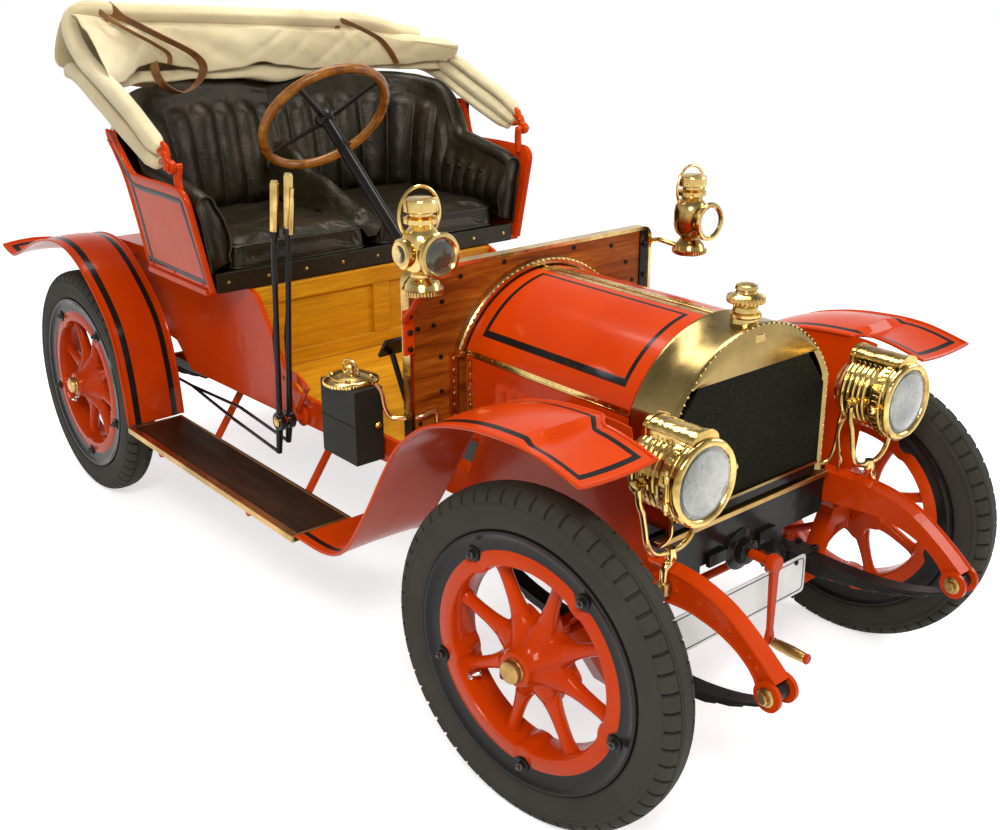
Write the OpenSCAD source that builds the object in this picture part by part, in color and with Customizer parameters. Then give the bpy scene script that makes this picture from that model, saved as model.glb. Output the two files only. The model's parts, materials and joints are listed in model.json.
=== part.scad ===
// Open two-seat motor car of the brass era.
// Millimetres, +Z up, the car faces -Y and its right-hand side is -X.
// The origin is on the ground, at the middle of the overall length and width.
// Outlines are given from the axle they belong to: Y from that axle's line,
// Z from the height of the wheel centres.

/* [Overall] */
// Distance between the front and rear axle lines
wheelbase = 2250; // [1900:5:2750]
// Distance between the middles of the two tyres on one axle
track = 1157; // [1120:1:1400]
// Reach of the rear fender tails behind the rear axle line
rear_overhang = 545; // [500:1:650]

/* [Wheels] */
// Outer radius of a tyre
tyre_r = 377; // [350:1:460]
// Width of a tyre
tyre_w = 95; // [80:1:100]
// Height of the tyre outside its steel rim
tyre_h = 87; // [75:1:90]
// Outer radius of the red wooden felloe, inside the steel rim
felloe_inset = 44; // [30:1:50]
// Radial depth of the felloe
felloe_depth = 38; // [30:1:50]
// Width of rim and felloe across the wheel
rim_w = 76; // [60:1:80]
// Number of spokes in a wheel
spoke_count = 8; // [8:1:12]
// Radius of a spoke at the felloe
spoke_r = 14; // [10:1:18]
// Radius of the hub flange that the spokes run into
hub_flange_r = 98; // [80:1:120]
// Radius of the wheel spindle
spindle_r = 16; // [12:0.1:20]
// Running clearance between a spindle or pin and its bore
running_fit = 0.05; // [0.02:0.01:0.1]
// Distance from the wheel's middle plane to the tip of the hub cap
hub_reach = 91; // [85:1:98]
// Radius of a rear brake drum
drum_r = 120; // [90:1:140]

/* [Steering] */
// Distance from a front wheel's middle plane in to its kingpin
kingpin_inset = 74; // [74:1:90]
// Radius of the kingpins
kingpin_r = 10; // [8:0.1:12]
// Angle to the left at which the front wheels stand
steer_rest = 8; // [0:1:12]
// Length of the knuckle arms behind the kingpins
steer_arm_l = 150; // [130:1:160]
// Length of the drop arm under the steering box
drop_arm_l = 150; // [140:1:160]
// Radius of the steering wheel, to the middle of its rim
steering_wheel_r = 185; // [160:1:210]
// Radius of the steering wheel's wooden rim
steering_rim_r = 13; // [10:1:16]
// Radius of the steering column tube
column_r = 17; // [14:1:22]

/* [Frame] */
// Distance between the outer faces of the two frame rails
frame_w = 714; // [690:2:730]
// Width of a frame rail
rail_w = 44; // [36:1:50]
// Height of a frame rail
rail_h = 80; // [70:1:90]
// Height of the rails' lower edges above the wheel centres
frame_rise = 103; // [95:1:125]
// Half length of a front spring
front_spring_l = 438; // [400:1:460]
// Half length of a rear spring
rear_spring_l = 480; // [440:1:520]
// Width of the spring leaves
spring_w = 42; // [36:1:44]

/* [Body] */
// Half the width of the lower body
body_half_w = 440; // [420:1:450]
// Half the width of the radiator
radiator_half_w = 265; // [250:1:280]
// Radius of the arch over the radiator and bonnet
arch_r = 290; // [285:1:330]
// Length of the bonnet between radiator and dashboard
bonnet_l = 595; // [500:1:720]
// Thickness of the bonnet sheets
bonnet_t = 3; // [2:0.5:4]
// Half the width of the dashboard
dash_half_w = 418; // [400:1:440]
// Thickness of the dashboard
dash_t = 28; // [20:1:35]
// Half the width of the seat at the front of its base
seat_half_w = 534; // [520:1:545]
// Width of a front fender
front_fender_w = 230; // [200:1:260]
// Thickness of the fender sheets
fender_t = 5; // [4:1:8]
// Width of a running board
board_w = 178; // [150:1:200]
// Thickness of a running board
board_t = 18; // [14:1:24]

/* [Hidden] */
$fn = 48;

// Axle lines
nose_r = 32;
front_overhang = front_spring_l + nose_r;
overall_length = front_overhang + wheelbase + rear_overhang;
front_y = front_overhang - overall_length / 2;
rear_y = front_y + wheelbase;
wheel_x = track / 2;
kingpin_x = wheel_x - kingpin_inset;

// Frame
rail_out = frame_w / 2;
rail_in = rail_out - rail_w;
rail_top = frame_rise + rail_h;
spring_x = rail_out - rail_w / 2;
spring_play = 0.3;
lug_t = 9;
hanger_w = 8;
eye_r = 22;
eye_y = -front_spring_l;
eye_z = 24;
pin_r = 10;
axle_h = 46;
axle_d = 44;

// Front springs: the main leaf's top line falls from the eyes to the middle
leaf_t = 8.5;
leaf_count = 5;
front_spring_low = -65;
rear_spring_low = 86;
rear_eye_z = 120;
rear_spring_x = rail_out + spring_w / 2 + 12;
axle_tube_r = 36;
spring_bend = 3.5;

// Engine, gearbox and axle casing
engine_front = 75;
pinion_reach = 190;
pinion_z = 18;

// Knuckles
axle_eye_r = 24;
axle_eye_h = 60;
lug_gap = 0.5;
fork_t = 19;
fork_r = 22;
fork_gap = 4;
web_t = 10;
drag_ball_x = 283;
drag_arm_l = kingpin_x - drag_ball_x;
tie_rod_z = -137;
tie_rod_r = 11;
link_pin_r = 7;
link_eye_r = 16;
link_eye_h = 24;
drag_link_r = 10;
open_pivot_gap = 8;

// Steering box, drop arm and column
box_z = 170;
drop_rest = asin(drag_arm_l * sin(steer_rest) / drop_arm_l);
column_x = -230;
wheel_gap = 0.5;
hub_sink = 20;
column_shaft_r = 9;
drop_pin_r = 9;

// Radiator and bonnet
radiator_y = -87;
radiator_d = 132;
arch_z = 333;
radiator_low = 205;
core_half_w = 225;
core_low = 228;
core_high = 520;
apron_low = 73;
crank_z = 76;
crank_r = 12;
bonnet_gap = 5;
bonnet_y = radiator_y + radiator_d + bonnet_gap;
bonnet_arch_r = arch_r - 4;
bonnet_arch_z = 331;
bonnet_half_w = radiator_half_w - 3;
side_hinge_z = 434;
side_rod_r = 2.5;
hinge_gap = 0.5;
bonnet_low = 210;
ridge_z = bonnet_arch_z + bonnet_arch_r;
ridge_rod_r = 4;
trim_t = 14;
dash_y = bonnet_y + bonnet_l - bonnet_gap;
bonnet_rear = dash_y - trim_t - bonnet_gap;
box_y = dash_y - 240;
bearer_y = box_y + 115;
engine_rear = bearer_y + 45;
column_foot = [column_x, front_y + dash_y - 276, tyre_r + 190];
column_head = [column_x, rear_y - 973, tyre_r + 948];
column_rake = atan2(column_head[2] - column_foot[2], column_head[1] - column_foot[1]);
column_l = norm(column_head - column_foot);
gearbox_front = dash_y + 130;
gearbox_rear = dash_y + 480;

// Lower body from the rear axle; seat and hood heights from the seat's lower edge, which stays
// above the rear fenders
dash_top = 665;
dash_low = 223;
floor_z = 205;
floor_t = 18;
seat_front = -858;
seat_low = tyre_r + 97;
seat_base_h = 59;
cushion_h = 90;
seat_rear = -190;
arm_t = 90;
riser_t = 22;
side_t = 14;
lever_y = -1132;
lever_z = 170;
lever_shaft_r = 13;
hood_pivot_y = -824;
hood_pivot_z = 360;
hood_pivot_x = 612;
hood_pin_r = 8;

// Fenders and boards
fender_out = wheel_x + 71.5;
fender_in = fender_out - front_fender_w;
rear_fender_gap = 30;
board_out = wheel_x + 84.5;
board_in = board_out - board_w;
board_z = -18;
board_front = tyre_r + 449;
board_rear = wheelbase - tyre_r - 68;

// ---------------------------------------------------------------- helpers

module at_front_axle() { translate([0, front_y, tyre_r]) children(); }
module at_rear_axle() { translate([0, rear_y, tyre_r]) children(); }
module at_seat() { translate([0, rear_y, tyre_r + seat_low]) children(); }

// Both sides of the car
module pair() {
    children();
    mirror([1, 0, 0]) children();
}

// An outline in (y, z), as thick as x0 to x1
module side_plate(x0, x1) {
    translate([x0, 0, 0]) rotate([90, 0, 90]) linear_extrude(height = x1 - x0) children();
}

// An outline in (x, z), as thick as y0 to y1
module front_plate(y0, y1) {
    translate([0, y1, 0]) rotate([90, 0, 0]) linear_extrude(height = y1 - y0) children();
}

// A box from its low corner to its high corner
module block(low, high) {
    translate(low) cube(high - low);
}

// A round bar from p to q
module rod(p, q, r) {
    d = q - p;
    translate(p)
        rotate([0, acos(d[2] / norm(d)), atan2(d[1], d[0])])
            cylinder(h = norm(d), r = r, $fn = 32);
}

// A round bar along X
module bar_x(x0, x1, y, z, r) {
    translate([x0, y, z]) rotate([0, 90, 0]) cylinder(h = x1 - x0, r = r);
}

// A round bar along Y
module bar_y(x, y0, y1, z, r) {
    translate([x, y1, z]) rotate([90, 0, 0]) cylinder(h = y1 - y0, r = r);
}

// Points on an arc from angle a0 to angle a1
function arc(cx, cy, r, a0, a1, n) =
    [for (i = [0:n]) [cx + r * cos(a0 + (a1 - a0) * i / n), cy + r * sin(a0 + (a1 - a0) * i / n)]];

// A smooth curve through the points p, n steps between each two
function curve_at(p, i, t) =
    let (
        a = p[max(i - 1, 0)],
        b = p[i],
        c = p[i + 1],
        d = p[min(i + 2, len(p) - 1)]
    )
    0.5 * (2 * b + (c - a) * t + (2 * a - 5 * b + 4 * c - d) * t * t
        + (3 * b - a - 3 * c + d) * t * t * t);
function smooth(p, n) =
    concat([for (i = [0:len(p) - 2], k = [0:n - 1]) curve_at(p, i, k / n)], [p[len(p) - 1]]);

// The same curve moved by t to its left
function side_step(p, i, t) =
    let (
        a = p[max(i - 1, 0)],
        b = p[min(i + 1, len(p) - 1)],
        d = (b - a) / norm(b - a)
    )
    p[i] + t * [-d[1], d[0]];
function reversed(p) = [for (i = [len(p) - 1:-1:0]) p[i]];

// The outline of a sheet of thickness t that follows the curve p
function sheet(p, t) = concat(p, reversed([for (i = [0:len(p) - 1]) side_step(p, i, t)]));

// Height of a spring's main leaf at y, for half length l
function leaf_z(y, l, low, high) = low + (high - low) * pow(abs(y) / l, spring_bend);

// ---------------------------------------------------------------- chassis

module rail_outline() {
    tail = wheelbase + 430;
    polygon(concat(
        smooth([[-452, 54], [-395, 100], [-317, 150], [-237, 176], [-162, rail_top], [-60, rail_top]], 4),
        [[wheelbase - 500, rail_top]],
        smooth([[wheelbase - 430, rail_top], [wheelbase - 240, rail_top + 62],
            [wheelbase, rail_top + 90], [wheelbase + 240, rail_top + 50], [tail, rail_top - 20]], 4),
        [[tail, rail_top - 60]],
        smooth([[wheelbase + 240, frame_rise + 60], [wheelbase, frame_rise + 95],
            [wheelbase - 240, frame_rise + 55], [wheelbase - 430, frame_rise]], 4),
        smooth([[-60, frame_rise], [-146, 110], [-215, 116], [-260, 112], [-308, 102], [-358, 81], [-396, 50], [-414, 16]], 4)
    ));
}

module frame_rails() {
    color("orangered") at_front_axle() pair() difference() {
        union() {
            side_plate(rail_in, rail_out) rail_outline();
            bar_x(spring_x - spring_w / 2 - lug_t, spring_x + spring_w / 2 + lug_t,
                eye_y, eye_z, nose_r);
            block([spring_x - hanger_w, front_spring_l - 14, eye_z],
                [spring_x + hanger_w, front_spring_l + 14, frame_rise + 1]);
        }
        bar_x(spring_x - spring_w / 2 - spring_play, spring_x + spring_w / 2 + spring_play,
            eye_y, eye_z, nose_r + spring_play);
        bar_x(rail_in, rail_out, front_spring_l, eye_z, eye_r - 1);
        bar_x(rail_in - 40, rail_out + 40, eye_y, eye_z, pin_r + spring_play);
    }
}

module cross_members() {
    color("black") at_front_axle() {
        for (y = [-40, gearbox_rear + 30, wheelbase - 600, wheelbase + 380])
            block([-rail_in, y, frame_rise + 12], [rail_in, y + 50, frame_rise + 52]);
    }
}

module leaves(l, low, high) {
    reach = [for (i = [0:leaf_count]) i < leaf_count ? l * (1 - 0.17 * i) : 0];
    top = [for (k = [-12:12]) [k / 12 * l, leaf_z(k / 12 * l, l, low, high)]];
    under = [for (i = [0:leaf_count - 1], k = [0:2])
        let (y = reach[i] + (reach[i + 1] - reach[i]) * k / 3)
        [y, leaf_z(y, l, low, high) - (i + 1) * leaf_t]];
    polygon(concat(top, under, reversed([for (p = under) [-p[0], p[1]]])));
}

module spring(x, l, low, high) {
    side_plate(x - spring_w / 2, x + spring_w / 2) leaves(l, low, high - eye_r + leaf_t);
    for (end = [-l, l])
        bar_x(x - spring_w / 2, x + spring_w / 2, end, high, eye_r - 1);
}

module front_springs() {
    color("dimgray") at_front_axle() pair() {
        spring(spring_x, front_spring_l, front_spring_low, eye_z);
        bar_x(spring_x - spring_w / 2 - lug_t - 6, spring_x + spring_w / 2 + lug_t + 14,
            eye_y, eye_z, pin_r);
        for (y = [-26, 26])
            block([spring_x - spring_w / 2 - 9, y - 5, front_spring_low - leaf_count * leaf_t],
                [spring_x + spring_w / 2 + 9, y + 5, front_spring_low + 10]);
    }
}

module front_axle() {
    beam_top = front_spring_low - leaf_count * leaf_t;
    beam_low = beam_top - axle_h;
    rise_x = kingpin_x - 52;
    color("orangered") at_front_axle() difference() {
        union() {
            front_plate(-axle_d / 2, axle_d / 2) polygon([
                [-kingpin_x, -25], [-rise_x, -25], [-rise_x + 75, beam_low], [rise_x - 75, beam_low],
                [rise_x, -25], [kingpin_x, -25], [kingpin_x, 25], [rise_x - 16, 25],
                [rise_x - 82, beam_top], [-rise_x + 82, beam_top], [-rise_x + 16, 25], [-kingpin_x, 25]
            ]);
            pair() translate([kingpin_x, 0, -axle_eye_h / 2]) cylinder(h = axle_eye_h, r = axle_eye_r);
        }
        pair() translate([kingpin_x, 0, -axle_eye_h])
            cylinder(h = 2 * axle_eye_h, r = kingpin_r + running_fit);
    }
}

module rear_axle() {
    tube_end = wheel_x - 85;
    color("orangered") at_rear_axle() {
        bar_x(-tube_end, tube_end, 0, 0, axle_tube_r);
        bar_x(-wheel_x - 66, wheel_x + 66, 0, 0, spindle_r);
        bar_x(-75, 75, 0, 0, 118);
        bar_x(-110, 110, 0, 0, 80);
        bar_y(0, -pinion_reach, -60, pinion_z, 50);
    }
}

module rear_springs() {
    low = rear_spring_low - leaf_count * leaf_t;
    color("dimgray") at_rear_axle() pair() {
        spring(rear_spring_x, rear_spring_l, rear_spring_low, rear_eye_z);
        for (end = [-rear_spring_l, rear_spring_l])
            bar_x(rail_out, rear_spring_x, end, rear_eye_z, pin_r);
        difference() {
            block([rear_spring_x - spring_w / 2 - 8, -40, -8],
                [rear_spring_x + spring_w / 2 + 8, 40, low + 4]);
            bar_x(rail_in, wheel_x, 0, 0, axle_tube_r + spring_play);
        }
    }
}

module engine() {
    color("darkgray") at_front_axle() {
        block([-150, engine_front, 60], [150, engine_rear, 470]);
        for (y = [engine_front + 55, bearer_y])
            block([-rail_in, y, 120], [rail_in, y + 40, 160]);
    }
}

module drive_line() {
    shaft_rear = wheelbase - pinion_reach;
    color("darkslategray") at_front_axle() {
        block([-110, gearbox_front, 40], [110, gearbox_rear, 185]);
        bar_y(0, engine_rear, gearbox_front, 125, 45);
        intersection() {
            rod([0, gearbox_rear - 40, 72], [0, shaft_rear + 40, pinion_z - 2], 28);
            block([-50, gearbox_rear, -100], [50, shaft_rear, 200]);
        }
    }
}

module exhaust() {
    muffler_y = wheelbase - 900;
    color("dimgray") at_front_axle() {
        rod([174, 250, 330], [215, 420, 60], 22);
        rod([215, 410, 62], [215, muffler_y + 20, 40], 22);
        bar_y(215, muffler_y, muffler_y + 420, 30, 58);
        rod([215, muffler_y + 410, 30], [225, wheelbase - 190, 60], 17);
    }
}

// ---------------------------------------------------------------- front of the body

module radiator_outline(half_w, r, low) {
    side = acos(half_w / r);
    polygon(concat([[half_w, low]], arc(0, arch_z, r, side, 180 - side, 24), [[-half_w, low]]));
}

module core_outline() {
    corner = 50;
    polygon(concat([[core_half_w, core_low]],
        arc(core_half_w - corner, core_high - corner, corner, 0, 90, 6),
        arc(corner - core_half_w, core_high - corner, corner, 90, 180, 6),
        [[-core_half_w, core_low]]));
}

module radiator_shell() {
    color("gold") at_front_axle() {
        difference() {
            front_plate(radiator_y, radiator_y + radiator_d)
                radiator_outline(radiator_half_w, arch_r, radiator_low);
            front_plate(radiator_y - 1, radiator_y + radiator_d + 1) core_outline();
        }
        translate([0, -40, arch_z + arch_r - 6]) cylinder(h = 36, r = 40);
        translate([0, -40, arch_z + arch_r + 28]) cylinder(h = 30, r = 30);
        translate([0, -40, arch_z + arch_r + 56]) cylinder(h = 29, r = 40);
    }
}

module bonnet_rod() {
    color("gold") at_front_axle()
        bar_y(0, radiator_y + radiator_d, dash_y, ridge_z, ridge_rod_r);
}

module radiator_core() {
    color("darkslategray") at_front_axle() {
        front_plate(radiator_y + 8, radiator_y + radiator_d - 8) core_outline();
        difference() {
            union() {
                block([-rail_in, radiator_y + 12, apron_low], [rail_in, radiator_y + 40, radiator_low]);
                block([-60, radiator_y - 12, crank_z - 35], [60, radiator_y + 12, crank_z + 15]);
            }
            bar_y(0, radiator_y - 20, radiator_y + 50, crank_z, crank_r + running_fit);
        }
    }
}

module column_line(r, l) {
    translate(column_foot) rotate([column_rake - 90, 0, 0]) cylinder(h = l, r = r);
}

module dashboard() {
    color("saddlebrown") difference() {
        at_front_axle() {
            front_plate(dash_y, dash_y + dash_t) polygon(concat(
                [[dash_half_w, dash_low]],
                arc(dash_half_w - 30, dash_top - 30, 30, 0, 90, 5),
                arc(30 - dash_half_w, dash_top - 30, 30, 90, 180, 5),
                [[-dash_half_w, dash_low]]));
            front_plate(dash_y - trim_t, dash_y) difference() {
                radiator_outline(radiator_half_w + 14, arch_r + 10, dash_low);
                radiator_outline(bonnet_half_w - 12, bonnet_arch_r - 12, dash_low - 1);
                translate([0, ridge_z]) circle(r = ridge_rod_r);
            }
        }
        column_line(column_r + 4, column_l);
    }
}

module bonnet_top() {
    side = acos(bonnet_half_w / bonnet_arch_r);
    inner_side = acos((bonnet_half_w - bonnet_t) / (bonnet_arch_r - bonnet_t));
    ridge = asin((ridge_rod_r + 1) / bonnet_arch_r);
    at_front_axle() {
        front_plate(bonnet_y, bonnet_rear) polygon(concat(
            arc(0, bonnet_arch_z, bonnet_arch_r, 90 + ridge, 180 - side, 18),
            [[-bonnet_half_w, side_hinge_z], [bonnet_t - bonnet_half_w, side_hinge_z]],
            arc(0, bonnet_arch_z, bonnet_arch_r - bonnet_t, 180 - inner_side, 90 + ridge, 18)));
        bar_y(bonnet_t / 2 - bonnet_half_w, bonnet_y, bonnet_rear, side_hinge_z, side_rod_r);
    }
}

module bonnet_side() {
    at_front_axle() block([-bonnet_half_w, bonnet_y, bonnet_low],
        [bonnet_t - bonnet_half_w, bonnet_rear, side_hinge_z - side_rod_r - hinge_gap]);
}

module bonnet_top_right() { color("orangered") bonnet_top(); }
module bonnet_top_left() { color("orangered") mirror([1, 0, 0]) bonnet_top(); }
module bonnet_side_right() { color("orangered") bonnet_side(); }
module bonnet_side_left() { color("orangered") mirror([1, 0, 0]) bonnet_side(); }

// ---------------------------------------------------------------- floor and lower body

module floor() {
    toe = [dash_y + dash_t, 330];
    color("goldenrod") at_front_axle() {
        block([-body_half_w + side_t, dash_y + dash_t, floor_z],
            [body_half_w - side_t, wheelbase + seat_front - riser_t, floor_z + floor_t]);
        side_plate(-330, 330) polygon([toe, [toe[0] + 12, toe[1]], [toe[0] + 130, floor_z + floor_t],
            [toe[0], floor_z + floor_t]]);
    }
}

module pedals() {
    color("dimgray") at_front_axle() for (x = [-300, -160]) {
        difference() {
            rod([x, dash_y + 160, floor_z], [x, dash_y + 245, 375], 8);
            block([x - 20, dash_y, floor_z - 20], [x + 20, dash_y + 300, floor_z + floor_t]);
        }
        translate([x, dash_y + 240, 398]) rotate([-55, 0, 0]) cube([72, 60, 9], center = true);
    }
}

module body_panels() {
    front_low = wheelbase - 1042;
    front_high = wheelbase - 899;
    tail_t = 10;
    tail = smooth([[wheelbase + 60, seat_low - 8], [wheelbase + 190, seat_low - 74],
        [wheelbase + 230, 270]], 5);
    inner = body_half_w - side_t;
    color("orangered") at_front_axle() {
        difference() {
            pair() side_plate(body_half_w - side_t, body_half_w) polygon(concat(
                [[dash_y + dash_t, rail_top - 24], [dash_y + dash_t, floor_z + 20],
                [front_low - 50, floor_z + 20], [front_low, 271], [front_high, 461],
                [wheelbase + seat_front, seat_low], [wheelbase - 180, seat_low]],
                tail, [[wheelbase - 360, 200], [wheelbase - 450, rail_top - 60]]));
            bar_x(-body_half_w - 1, 1 - inner, wheelbase + lever_y, lever_z, lever_shaft_r + 1);
        }
        block([-inner, wheelbase - 180 - side_t, rail_top + 80], [inner, wheelbase - 180, seat_low]);
        side_plate(-inner, inner)
            polygon(sheet(concat([[wheelbase - 180, seat_low]], tail), -tail_t));
    }
}

module seat_riser() {
    inner = body_half_w - side_t;
    color("goldenrod") at_rear_axle()
        block([-inner, seat_front - riser_t, floor_z + floor_t], [inner, seat_front, seat_low]);
}

// ---------------------------------------------------------------- seat

module seat_side_outline() {
    polygon(concat(
        [[seat_front - 16, 0], [seat_front - 18, 250]],
        arc(seat_front + 24, 253, 42, 180, 90, 4),
        smooth([[-600, 297], [-545, 312], [-500, 366], [-430, 406], [-340, 420]], 4),
        smooth([[-290, 400], [-300, 300], [-380, 120], [-495, 0]], 4)));
}

module seat_sides() {
    lean = 11.6;
    foot_x = 546;
    post_x = 586;
    post_w = 20;
    back_t = 14;
    color("orangered") at_seat() {
        pair() {
            translate([foot_x, 0, 14]) rotate([0, lean, 0]) side_plate(0, side_t) seat_side_outline();
            block([post_x, hood_pivot_y - 14, 216],
                [post_x + post_w, hood_pivot_y + 14, hood_pivot_z + 18]);
            bar_x(post_x + 14, hood_pivot_x + 26, hood_pivot_y, hood_pivot_z, hood_pin_r);
        }
        block([-seat_half_w, seat_front, 0], [seat_half_w, seat_rear + 20, seat_base_h - 20]);
        side_plate(-seat_half_w, seat_half_w) polygon([
            [seat_rear + 2, 20], [seat_rear + 2 + back_t, 20],
            [seat_rear + 22 + back_t, 406], [seat_rear + 22, 406]]);
    }
}

module seat_cushions() {
    color("#2b1c16") at_seat() pair()
        block([14, seat_front + 4, seat_base_h - 20],
            [seat_half_w - arm_t + 16, seat_rear - 150, seat_base_h + cushion_h]);
}

module seat_back() {
    low = seat_base_h - 20;
    back_half_w = 580;
    divider_w = 24;
    color("#2b1c16") at_seat() {
        intersection() {
            side_plate(-back_half_w, back_half_w) polygon(concat(
                [[seat_rear, low], [seat_rear + 20, 386]],
                smooth([[seat_rear + 20, 426], [seat_rear - 5, 516], [-250, 536], [-310, 511],
                    [-325, 456]], 4),
                [[-340, low + 60], [-340, low]]));
            front_plate(-700, 0) pair() polygon(concat(
                smooth([[0, 500], [60, 508], [130, 523], [240, 530], [400, 527], [500, 517],
                    [back_half_w, 486], [640, 400]], 4),
                [[640, low], [0, low]]));
        }
        side_plate(-divider_w / 2, divider_w / 2) polygon([[seat_front + 20, low],
            [seat_front + 28, 136], [-530, 241], [-320, 300], [-320, low]]);
        pair() side_plate(seat_half_w - arm_t + 18, seat_half_w + 10) polygon(concat(
            [[seat_rear - 140, low], [seat_front + 12, low]],
            smooth([[seat_front + 6, 226], [seat_front + 30, 281], [-760, 290], [-600, 294],
                [-520, 326], [-450, 426], [-400, 471], [-330, 501]], 4)));
    }
}

// ---------------------------------------------------------------- fenders and boards

// A point outside the tyre by gap, at angle a about the wheel centre
function off_tyre(gap, a) = (tyre_r + gap) * [cos(a), sin(a)];

front_fender_line = smooth([[board_front, board_z - 2], [board_front - 136, board_z + 4],
    [board_front - 228, 30], off_tyre(151, 17), off_tyre(134, 35.5), off_tyre(140, 46.6),
    off_tyre(138, 59.3), off_tyre(125, 73.3), off_tyre(121, 88), off_tyre(131, 101),
    off_tyre(145, 115)], 4);
rear_fender_line = smooth([off_tyre(48, 183), off_tyre(46, 161), off_tyre(68, 141), off_tyre(78, 119),
    off_tyre(100, 101), off_tyre(109, 84), off_tyre(124, 63), off_tyre(177, 42.3),
    [rear_overhang - 75, tyre_r - 9], [rear_overhang, tyre_r + 6]], 4);

module front_fenders() {
    apron_foot = rail_top - 20;
    apron_front = -110;
    slope = atan2(fender_in + 20 - rail_out, tyre_r + 121 - apron_foot);
    color("orangered") at_front_axle() pair() {
        side_plate(fender_in, fender_out) polygon(sheet(front_fender_line, fender_t));
        translate([rail_out, 0, apron_foot]) rotate([0, slope, 0]) side_plate(0, fender_t)
            polygon(concat([[apron_front, 0]], reversed([for (p = front_fender_line)
                if (p[0] > apron_front && p[1] > apron_foot)
                    [p[0], (p[1] - fender_t / 2 - apron_foot) / cos(slope)]])));
    }
}

module rear_fenders() {
    inner = body_half_w + rear_fender_gap;
    valance_low = tyre_r - 47;
    color("orangered") at_rear_axle() pair() {
        side_plate(inner, fender_out) polygon(sheet(rear_fender_line, -fender_t));
        side_plate(inner, inner + fender_t) polygon(concat(
            [for (p = rear_fender_line) if (p[1] > valance_low && p[0] < 250)
                [p[0], p[1] - fender_t / 2]],
            [[250, tyre_r + 23], [90, tyre_r + 23], [-80, tyre_r + 8], [-210, valance_low]]));
        block([body_half_w, -120, tyre_r + 63], [inner + 2, 60, tyre_r + 69]);
    }
}

module running_boards() {
    color("#3a2416") at_front_axle() pair()
        block([board_in, board_front, board_z - board_t], [board_out, board_rear, board_z]);
}

module board_brackets() {
    bracket_r = 11;
    color("orangered") at_front_axle() pair() for (y = [1080, wheelbase - 640]) {
        difference() {
            rod([rail_out - 10, y, frame_rise + 22],
                [board_in - 20, y, board_z - board_t - bracket_r], bracket_r);
            block([rail_in, y - 20, 0], [rail_out, y + 20, rail_top]);
        }
        bar_x(board_in - 24, board_out - 12, y, board_z - board_t - bracket_r, bracket_r);
        block([board_in + 10, y - 16, board_z - board_t - bracket_r],
            [board_out - 20, y + 16, board_z - board_t]);
    }
}

// ---------------------------------------------------------------- lamps and fittings

module headlamps() {
    lens_y = -253;
    lamp_z = 404;
    lamp_x = 351;
    stem_y = -165;
    color("gold") at_front_axle() pair() translate([lamp_x, 0, 0]) {
        bar_y(0, lens_y, lens_y + 62, lamp_z, 93);
        bar_y(0, lens_y + 60, lens_y + 120, lamp_z, 78);
        bar_y(0, lens_y + 118, lens_y + 177, lamp_z, 52);
        block([-38, lens_y + 24, lamp_z + 60], [38, lens_y + 108, lamp_z + 118]);
        for (x = [-98, 98])
            bar_x(x - 24, x + 24, stem_y, lamp_z, 9);
        rotate([90, 0, 0]) translate([0, lamp_z, -stem_y - 7]) rotate([0, 0, 180])
            rotate_extrude(angle = 180, $fn = 64) translate([98, 0]) square([12, 14]);
        translate([0, stem_y, rail_top + 8]) cylinder(h = lamp_z - 100 - rail_top - 8, r = 12);
        difference() {
            block([rail_in - lamp_x, stem_y - 18, rail_top - 10],
                [rail_out - lamp_x, stem_y + 18, rail_top + 10]);
            side_plate(rail_in - lamp_x - 1, rail_out - lamp_x + 1) rail_outline();
        }
    }
}

module side_lamp() {
    cylinder(h = 46, r = 30);
    translate([0, 0, 44]) cylinder(h = 92, r = 48);
    translate([0, 0, 134]) cylinder(h = 32, r = 34);
    translate([0, 0, 164]) cylinder(h = 26, r = 24);
    translate([0, 0, 188]) cylinder(h = 36, r = 32);
    translate([0, 0, 90]) rotate([90, 0, 0]) cylinder(h = 70, r = 48);
}

module side_lamps() {
    right = [-455, dash_y - 110, 643];
    left = [490, dash_y - 80, 588];
    color("gold") at_front_axle() {
        translate(right) side_lamp();
        translate(left) side_lamp();
        rod(right + [0, 0, 4], [right[0], dash_y + 8, 560], 10);
        bar_x(right[0], -dash_half_w, dash_y + 8, 560, 9);
        rod(left + [0, 0, 30], [left[0], dash_y + 8, 600], 10);
        bar_x(dash_half_w, left[0], dash_y + 8, 600, 9);
    }
}

module gas_generator() {
    low_z = 171;
    color("dimgray") at_front_axle() {
        block([-530, dash_y + 78, low_z], [-445, dash_y + 232, low_z + 197]);
        translate([-487, dash_y + 155, low_z + 190]) cylinder(h = 40, r = 50);
        block([-447, dash_y + 90, low_z + 20], [-body_half_w, dash_y + 180, low_z + 60]);
    }
}

module hand_levers() {
    foot = [lever_y, lever_z];
    color("dimgray") at_rear_axle() for (k = [0, 1]) {
        x = -486 - 30 * k;
        lean = 18 + 28 * k;
        grip_top = 682 - 18 * k;
        rod([x, foot[0], foot[1]], [x, foot[0] - 60 + lean, foot[1] + 440], 7);
        rod([x, foot[0] - 60 + lean, foot[1] + 438], [x, foot[0] - 86 + lean, foot[1] + grip_top], 12);
        translate([x - 8, 0, 0]) bar_x(0, 16, foot[0], foot[1], 26);
    }
    color("orangered") at_rear_axle() {
        bar_x(-524, -rail_out, foot[0], foot[1], lever_shaft_r);
        side_plate(-476, -466) polygon(concat(arc(foot[0], foot[1], 130, 60, 130, 10),
            arc(foot[0], foot[1], 14, 130, 60, 3)));
    }
}

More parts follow.
